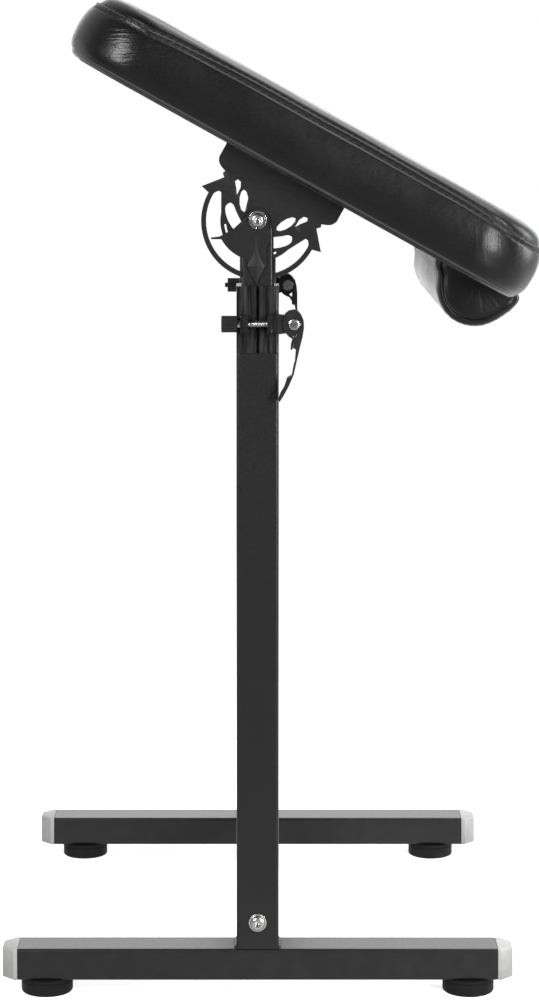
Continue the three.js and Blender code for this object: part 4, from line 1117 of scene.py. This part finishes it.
def staple_shells():
    """Wire staples round the dust cover: each is a low box with rounded ends laid along the cover's edge."""
    outline = pad_outline(25 * MM)
    ring = np.column_stack([outline, np.zeros(len(outline))])
    total = ring_lengths(ring)[-1]
    cover = mesh_points(frame["nodes"]["pad_dust_cover"].data) - (POST_X, 0, PIVOT_Z)
    below = (cover[:, 0] * math.sin(TILT) + cover[:, 2] * math.cos(TILT)).min()
    turn = full_turn(6)[None, :, None]
    half_width, half_height = 0.65 * MM, 0.25 * MM
    shells = []
    for number in range(sizes().staples):
        place = total * (number + 0.3) / sizes().staples + np.linspace(-5, 5, 7) * MM
        line = along_ring(ring, ring, place)
        line[:, 2] = below + np.array([0.5, 0.1, 0.0, 0.0, 0.0, 0.1, 0.5]) * MM
        ahead = np.gradient(line, axis=0)
        across = unit(np.cross(ahead, (0, 0, 1.0)))
        up = unit(np.cross(across, ahead))
        offset = np.cos(turn) * across[:, None] * half_width + np.sin(turn) * up[:, None] * half_height
        shells.append(shell(on_pad(line[:, None] + offset)))
    return shells


def spread_columns(values, count):
    """Values on every third column of a closed grid, read at all its columns by straight lines between them."""
    place = np.arange(count) / 3
    before = np.floor(place).astype(int) % values.shape[1]
    share = (place - np.floor(place))[None, :, None]
    return values[:, before] * (1 - share) + values[:, (before + 1) % values.shape[1]] * share


def arched(points, height, lift):
    """Slides the side's rows up along the surface, by a lift that fades to nothing at the bottom and at the crown:
    each point is read from its column at the row, not a whole number, where the wanted height is."""
    side = height[SIDE]
    heights = side[:, 0]
    fade = np.minimum(np.clip((side - 14) / 34, 0, 1), np.clip((heights[-1] - side) / (heights[-1] - 54), 0, 1))
    place = np.interp(side + lift[SIDE] * fade, heights, np.arange(SIDE_ROWS))
    before = np.minimum(place.astype(int), SIDE_ROWS - 2)
    share = (place - before)[..., None]
    column = np.arange(points.shape[1])[None, :]
    moved = points.copy()
    moved[SIDE] = points[SIDE][before, column] * (1 - share) + points[SIDE][before + 1, column] * share
    return moved


def foamed(goal, normal, hold):
    """The pad's form pushed out by its foam: the swelling of a slightly smaller pad, pressed by a tangent curve into a
    thin range round the form. Hold keeps the bottom edge where it is."""
    limit, shrink, voxel = 1.4 * MM, 2.0 * MM, 6.0 * MM
    base = pad_shape(shrink)
    move = spread_columns(swelled(base[:, ::3], voxel, sizes().swell), goal.shape[1])
    outward = ((base + move - goal) * normal).sum(2, keepdims=True)
    return goal + normal * limit * np.tanh((outward - np.median(outward[SIDE])) / limit) * hold


def dressed_pad():
    """The pad's leather. Two stitched rows pull the leather in by bell curves across the row and by a cosine along it,
    and arch up by one less a fourth power along the slope. A fold runs along the bottom edge, and a product of sines
    makes the whole undulate. Returns the grid, the rows of both seams, and how creased, how close to a seam and how
    much painted highlight along the bottom edge each point carries."""
    goal = pad_shape(0.0)
    height = (goal[..., 2] - PAD_BASE) / MM
    hold = np.clip((height - 4) / 14, 0, 1)
    normal = ring_normals(goal)
    along, across = goal[..., 0], goal[..., 1]
    arch = SEAM_ARCH * np.clip(1 - ((along - 0.02) / 0.2) ** 4, 0.1, 1)
    points = arched(foamed(goal, normal, hold[..., None]), height, arch)
    sides = np.zeros(height.shape)
    sides[SIDE] = 1.0
    place = ring_lengths(goal[len(UNDER_SHARES) + 40])[:-1][None, :]
    pucker = 0.5 + 0.5 * np.cos(2 * math.pi * place / sizes().stitch_pitch)
    dip = np.zeros(height.shape)
    seam = np.zeros(height.shape)
    for level in SEAM_HEIGHTS:
        line = bell(height - level, SEAM_WIDTH)
        dip += line * sizes().seam_depth + bell(height - level, PUCKER_WIDTH) * pucker * PUCKER_DEPTH * MM
        seam = np.maximum(seam, line)
    dip -= bell(height - sum(SEAM_HEIGHTS) / 2, RIDGE_WIDTH) * RIDGE_RISE * MM
    for level, width, depth in FOLD:
        dip += bell(height - level, width) * depth * MM
    wave = np.sin(along * 61 + 2 * np.sin(across * 17)) * np.sin(across * 43 + 0.8)
    dip = dip * sides + wave * WAVE_DEPTH * MM * hold
    points = points - normal * dip[..., None]
    rows = [SIDE.start + int(np.argmin(np.abs(height[SIDE, 0] - level))) for level in SEAM_HEIGHTS]
    ends = sum(share * bell(along - place * MM, width * MM) for place, width, share in CREASE_ENDS)
    crease = ends * bell(height - CREASE_HEIGHT, CREASE_WIDTH)
    # Painted highlight: a pale line along the bottom edge
    edge_highlight = bell(height - EDGE_HIGHLIGHT_HEIGHT, EDGE_HIGHLIGHT_WIDTH)
    return points, rows, crease * sides, seam * sides, edge_highlight * sides


def paint(piece, name, values):
    """Gives a piece a value at each point; the two added for its poles are zero."""
    full = np.zeros(len(piece.data.vertices))
    full[: values.size] = np.ravel(values)
    piece.data.attributes.new(name, "FLOAT", "POINT").data.foreach_set("value", full)


class ARMREST_OT_pad(bpy.types.Operator):
    """The pad: leather over foam, two rows of stitches, and staples round the dust cover"""

    bl_idname = "armrest.pad"
    bl_label = "Pad"

    def execute(self, context):
        points, seam_rows, crease, seam, edge_highlight = dressed_pad()
        cushion = make_piece("pad_leather", [shell(on_pad(points))], "pad", "black_leather", ["pad_cushion"])
        paint(cushion, "crease", crease)
        paint(cushion, "seam", seam)
        # The pale line along the bottom edge is painted highlight
        paint(cushion, "edge_highlight", edge_highlight)
        normals = ring_normals(points)
        pitch, radius = sizes().stitch_pitch, sizes().thread_radius
        thread = []
        for order, row in enumerate(seam_rows):
            thread += stitches(points[row], normals[row], pitch, radius, pitch * 0.5 * order)
        make_piece("pad_stitching", thread, "pad", "black_cloth", finish="thread")
        make_piece("dust_cover_staples", staple_shells(), "pad", "black_plate")
        return {"FINISHED"}


# The bolster's section, along the pad's slope and square to it: round its underside, then the hollow that hugs the
# pad's low edge. The end panel's rows are shares of the section and bulges.
BOLSTER_TOP = 49.6
BOLSTER_SECTION = np.array(
    [
        (168.5, BOLSTER_TOP), (169.5, 43.8), (176.1, 36.7), (184.8, 21.5), (195.3, 11.2), (208.9, 5.6), (220.1, 5.5),
        (229.6, 8.2), (238.4, 13.5), (247.7, 24.2), (254.2, 36.2), (257.2, 43.0), (258.2, 49.0), (257.2, 54.4),
        (253.8, 57.2),
    ]
) * MM
BOLSTER_HUG = np.array(
    [(253.8, 57.2), (250.4, 56.4), (248.2, 55.0), (246.2, 53.4), (243.6, 51.6), (240.4, 50.2), (236.0, BOLSTER_TOP)]
) * MM
BOLSTER_HALF = 197.0 * MM
BOLSTER_ROLL = 8.0 * MM
BOLSTER_MIDDLE = 213.0 * MM
BOLSTER_PANEL = [
    (0.02, 0.8), (0.25, 0.75), (0.5, 0.6), (0.72, 0.2), (0.79, -0.3), (0.815, -1.3), (0.83, -1.2), (0.85, -0.2),
]


def bolster_shape():
    """Grid of the bolster: the section, closed along its flat top, is carried across the pad; at each end it rolls
    over on a quarter circle, dips in a seam and bulges a little at the end panel."""
    lower = side_curve(BOLSTER_SECTION, 70)
    hug = side_curve(BOLSTER_HUG, 16)[1:]
    top = np.column_stack([np.linspace(hug[-1, 0], lower[0, 0], 20)[1:-1], np.full(18, lower[0, 1])])
    section = np.vstack([lower, hug, top])
    centre = np.array([BOLSTER_MIDDLE, lower[0, 1]])
    deep = 44.0 * MM
    rows = [(share, 1.0 * MM - bulge * MM - BOLSTER_HALF) for share, bulge in BOLSTER_PANEL]
    for turn in np.linspace(0.15, 1.0, 8) * math.pi / 2:
        share = 1 - BOLSTER_ROLL / deep * (1 - math.sin(turn)) * 0.85
        rows.append((share, BOLSTER_ROLL * (1 - math.cos(turn)) - BOLSTER_HALF))
    straight = BOLSTER_HALF - BOLSTER_ROLL * 1.4
    middle = [(1.0, place) for place in np.linspace(-straight, straight, 66)]
    share, place = np.array([*rows, *middle, *[(share, -place) for share, place in rows[::-1]]]).T[:, :, None]
    scaled = centre + (section - centre) * share[..., None]
    return np.stack([scaled[..., 0], np.broadcast_to(place, scaled.shape[:2]), scaled[..., 1]], -1)


class ARMREST_OT_bolster(bpy.types.Operator):
    """The bolster under the pad's low end"""

    bl_idname = "armrest.bolster"
    bl_label = "Bolster"

    def execute(self, context):
        goal = bolster_shape()
        along, across, rise = goal[..., 0], goal[..., 1], goal[..., 2]
        normal = -ring_normals(goal)
        move = swelled(goal, 5 * MM, sizes().swell * 0.6, 3.0)
        outward = (move * normal).sum(2)
        limit = 0.6 * MM
        swell = limit * np.tanh((outward - outward.mean()) / limit)
        lengthwise = np.sin(rise / MM * 1.15 + 0.9 * np.sin(across * 23)) * bell(along - 0.247, 0.009)
        gathers = np.sin(along / MM * 0.9 + rise / MM * 0.7) * bell(np.abs(across) - 0.183, 0.012)
        lengthwise_depth, gather_depth = 0.16, 0.2
        below = np.clip((BOLSTER_TOP * MM - rise) / (8 * MM), 0, 1)
        out = (swell - (lengthwise * lengthwise_depth + gathers * gather_depth) * MM) * below
        points = on_pad(goal + normal * out[..., None])
        piece = make_piece("bolster_leather", [shell(points)], "pad", "black_leather", ["bolster_cushion"])
        # On the flank the seam value darkens the colour as painted shade and dulls the gloss; the crease value
        # wrinkles it
        shaded_flank = bell(along - 0.172, 0.012) * 0.8
        paint(piece, "seam", shaded_flank * 0.9)
        paint(piece, "crease", shaded_flank + 0.3 * bell(along - 0.243, 0.008))
        return {"FINISHED"}


# Stage


LAMPS = (
    # name, place, target, width, height, watts
    ("left", (-1.2, -1.85, 1.35), (0.0, -0.25, 0.75), 0.62, 0.95, 54.0),
    ("right", (1.15, -1.8, 0.85), (0.1, -0.25, 0.7), 0.28, 0.95, 42.0),
    ("left side", (-2.3, 0.9, 1.1), (-0.1, 0.0, 0.8), 0.9, 1.2, 3.0),
    ("right side", (2.3, 0.2, 0.9), (0.2, 0.0, 0.7), 0.7, 1.5, 42.0),
    ("top", (1.15, 0.45, 2.9), (0.1, 0.0, 0.6), 3.2, 1.2, 62.0),
    ("back", (0.0, 2.6, 1.1), (0.0, 0.0, 0.55), 3.6, 2.0, 34.0),
)


def soft_lights(context):
    """Rectangular lamps that look at their targets."""
    for name, place, target, width, height, watts in LAMPS:
        light = bpy.data.lights.new(name, "AREA")
        light.shape = "RECTANGLE"
        light.size, light.size_y = width, height
        light.energy = watts
        lamp = bpy.data.objects.new(name, light)
        lamp.location = place
        lamp.rotation_euler = (Vector(target) - Vector(place)).to_track_quat("-Z", "Y").to_euler()
        context.scene.collection.objects.link(lamp)


def stage_floor():
    """A wide floor disc: pale and shaded near the object, plain white to the camera further out."""
    columns = 96
    ring = np.column_stack([np.cos(full_turn(columns)), np.sin(full_turn(columns)), np.zeros(columns)])
    radii = np.array([0.01, 0.5, 1.0, 2.0, 4.0, 8.0, 20.0, 60.0])
    vertices, quads, fans = shell(ring[None] * radii[:, None, None])
    floor = new_object("stage_floor", vertices[:-1], quads.tolist() + fans[:columns].tolist())
    finish = Finish("stage_floor")
    vector = finish.coordinates()
    far = finish.map_range(finish.add("VectorMath", {0: vector}, operation="LENGTH").outputs["Value"], 0.7, 2.6)
    inputs = finish.shader.inputs
    inputs["Base Color"].default_value = (0.8, 0.8, 0.8, 1.0)
    inputs["Roughness"].default_value = 0.9
    inputs["Specular IOR Level"].default_value = 0.0
    glow = finish.add("Emission", {"Strength": 0.72}).outputs[0]
    near = finish.add("AddShader", {0: finish.shader.outputs[0], 1: glow}).outputs[0]
    white = finish.add("Emission", {"Strength": 1.0}).outputs[0]
    pale = finish.add("MixShader", {0: far, 1: near, 2: white}).outputs[0]
    matt = finish.add("BsdfDiffuse", {"Color": (0.3, 0.3, 0.3, 1.0)}).outputs[0]
    seen = finish.seen_rays(vector, -0.9, 0.5)
    final = finish.add("MixShader", {0: seen, 1: matt, 2: pale}).outputs[0]
    finish.put(final, finish.tree.nodes["Material Output"].inputs["Surface"])
    floor.data.materials.append(finish.material)


def stage_world(context):
    """A white surround to the camera and to reflections, and a gentle grey light on everything else."""
    world = bpy.data.worlds.new("stage_world")
    context.scene.world = world
    world.use_nodes = True
    nodes = Nodes(world.node_tree)
    background = world.node_tree.nodes["Background"].inputs
    background["Color"].default_value = (1, 1, 1, 1)
    seen = nodes.seen_rays(nodes.add("TexCoord").outputs["Generated"], -0.25, 0.35)
    nodes.put(nodes.map_range(seen, 0.0, 1.0, 0.08, 1.0), background["Strength"])


def photo_camera(context):
    """A camera at the photograph's viewing angle, level with the pad and looking a little down."""
    camera = bpy.data.cameras.new("camera")
    camera.sensor_width = 36.0
    camera.lens = 97.39
    camera.shift_x = 0.011
    camera.shift_y = -0.27
    camera.clip_end = 200.0
    rig = bpy.data.objects.new("camera", camera)
    rig.location = (POST_X + 0.0008, -2.7791, 0.8549)
    rig.rotation_euler = (math.radians(90 - 2.879), 0, 0)
    context.scene.collection.objects.link(rig)
    context.scene.camera = rig


class ARMREST_OT_stage(bpy.types.Operator):
    """Floor, surround, lights and camera"""

    bl_idname = "armrest.stage"
    bl_label = "Stage"

    def execute(self, context):
        stage_floor()
        stage_world(context)
        soft_lights(context)
        photo_camera(context)
        context.scene.view_settings.view_transform = "Standard"
        return {"FINISHED"}


class ARMREST_PT_panel(bpy.types.Panel):
    """The armrest's pieces, one button each"""

    bl_idname = "ARMREST_PT_panel"
    bl_label = "Armrest"
    bl_space_type = "VIEW_3D"
    bl_region_type = "UI"
    bl_category = "Armrest"

    def draw(self, context):
        for operator in OPERATORS:
            self.layout.operator(operator.bl_idname)


OPERATORS = (
    ARMREST_OT_stage,
    ARMREST_OT_finishes,
    ARMREST_OT_tubes,
    ARMREST_OT_feet,
    ARMREST_OT_fasteners,
    ARMREST_OT_clamps,
    ARMREST_OT_masts,
    ARMREST_OT_pad,
    ARMREST_OT_bolster,
)
CLASSES = (ArmrestSizes, ArmrestColours, *OPERATORS, ARMREST_PT_panel)


def register():
    for item in CLASSES:
        bpy.utils.register_class(item)
    bpy.types.Scene.armrest_sizes = PointerProperty(type=ArmrestSizes)
    bpy.types.Scene.armrest_colours = PointerProperty(type=ArmrestColours)


def unregister():
    del bpy.types.Scene.armrest_colours
    del bpy.types.Scene.armrest_sizes
    for item in reversed(CLASSES):
        bpy.utils.unregister_class(item)


def main():
    register()
    bpy.ops.armrest.stage()
    bpy.ops.armrest.finishes()
    bpy.ops.armrest.tubes()
    bpy.ops.armrest.feet()
    bpy.ops.armrest.fasteners()
    bpy.ops.armrest.clamps()
    bpy.ops.armrest.masts()
    bpy.ops.armrest.pad()
    bpy.ops.armrest.bolster()


if __name__ == "__main__":
    main()
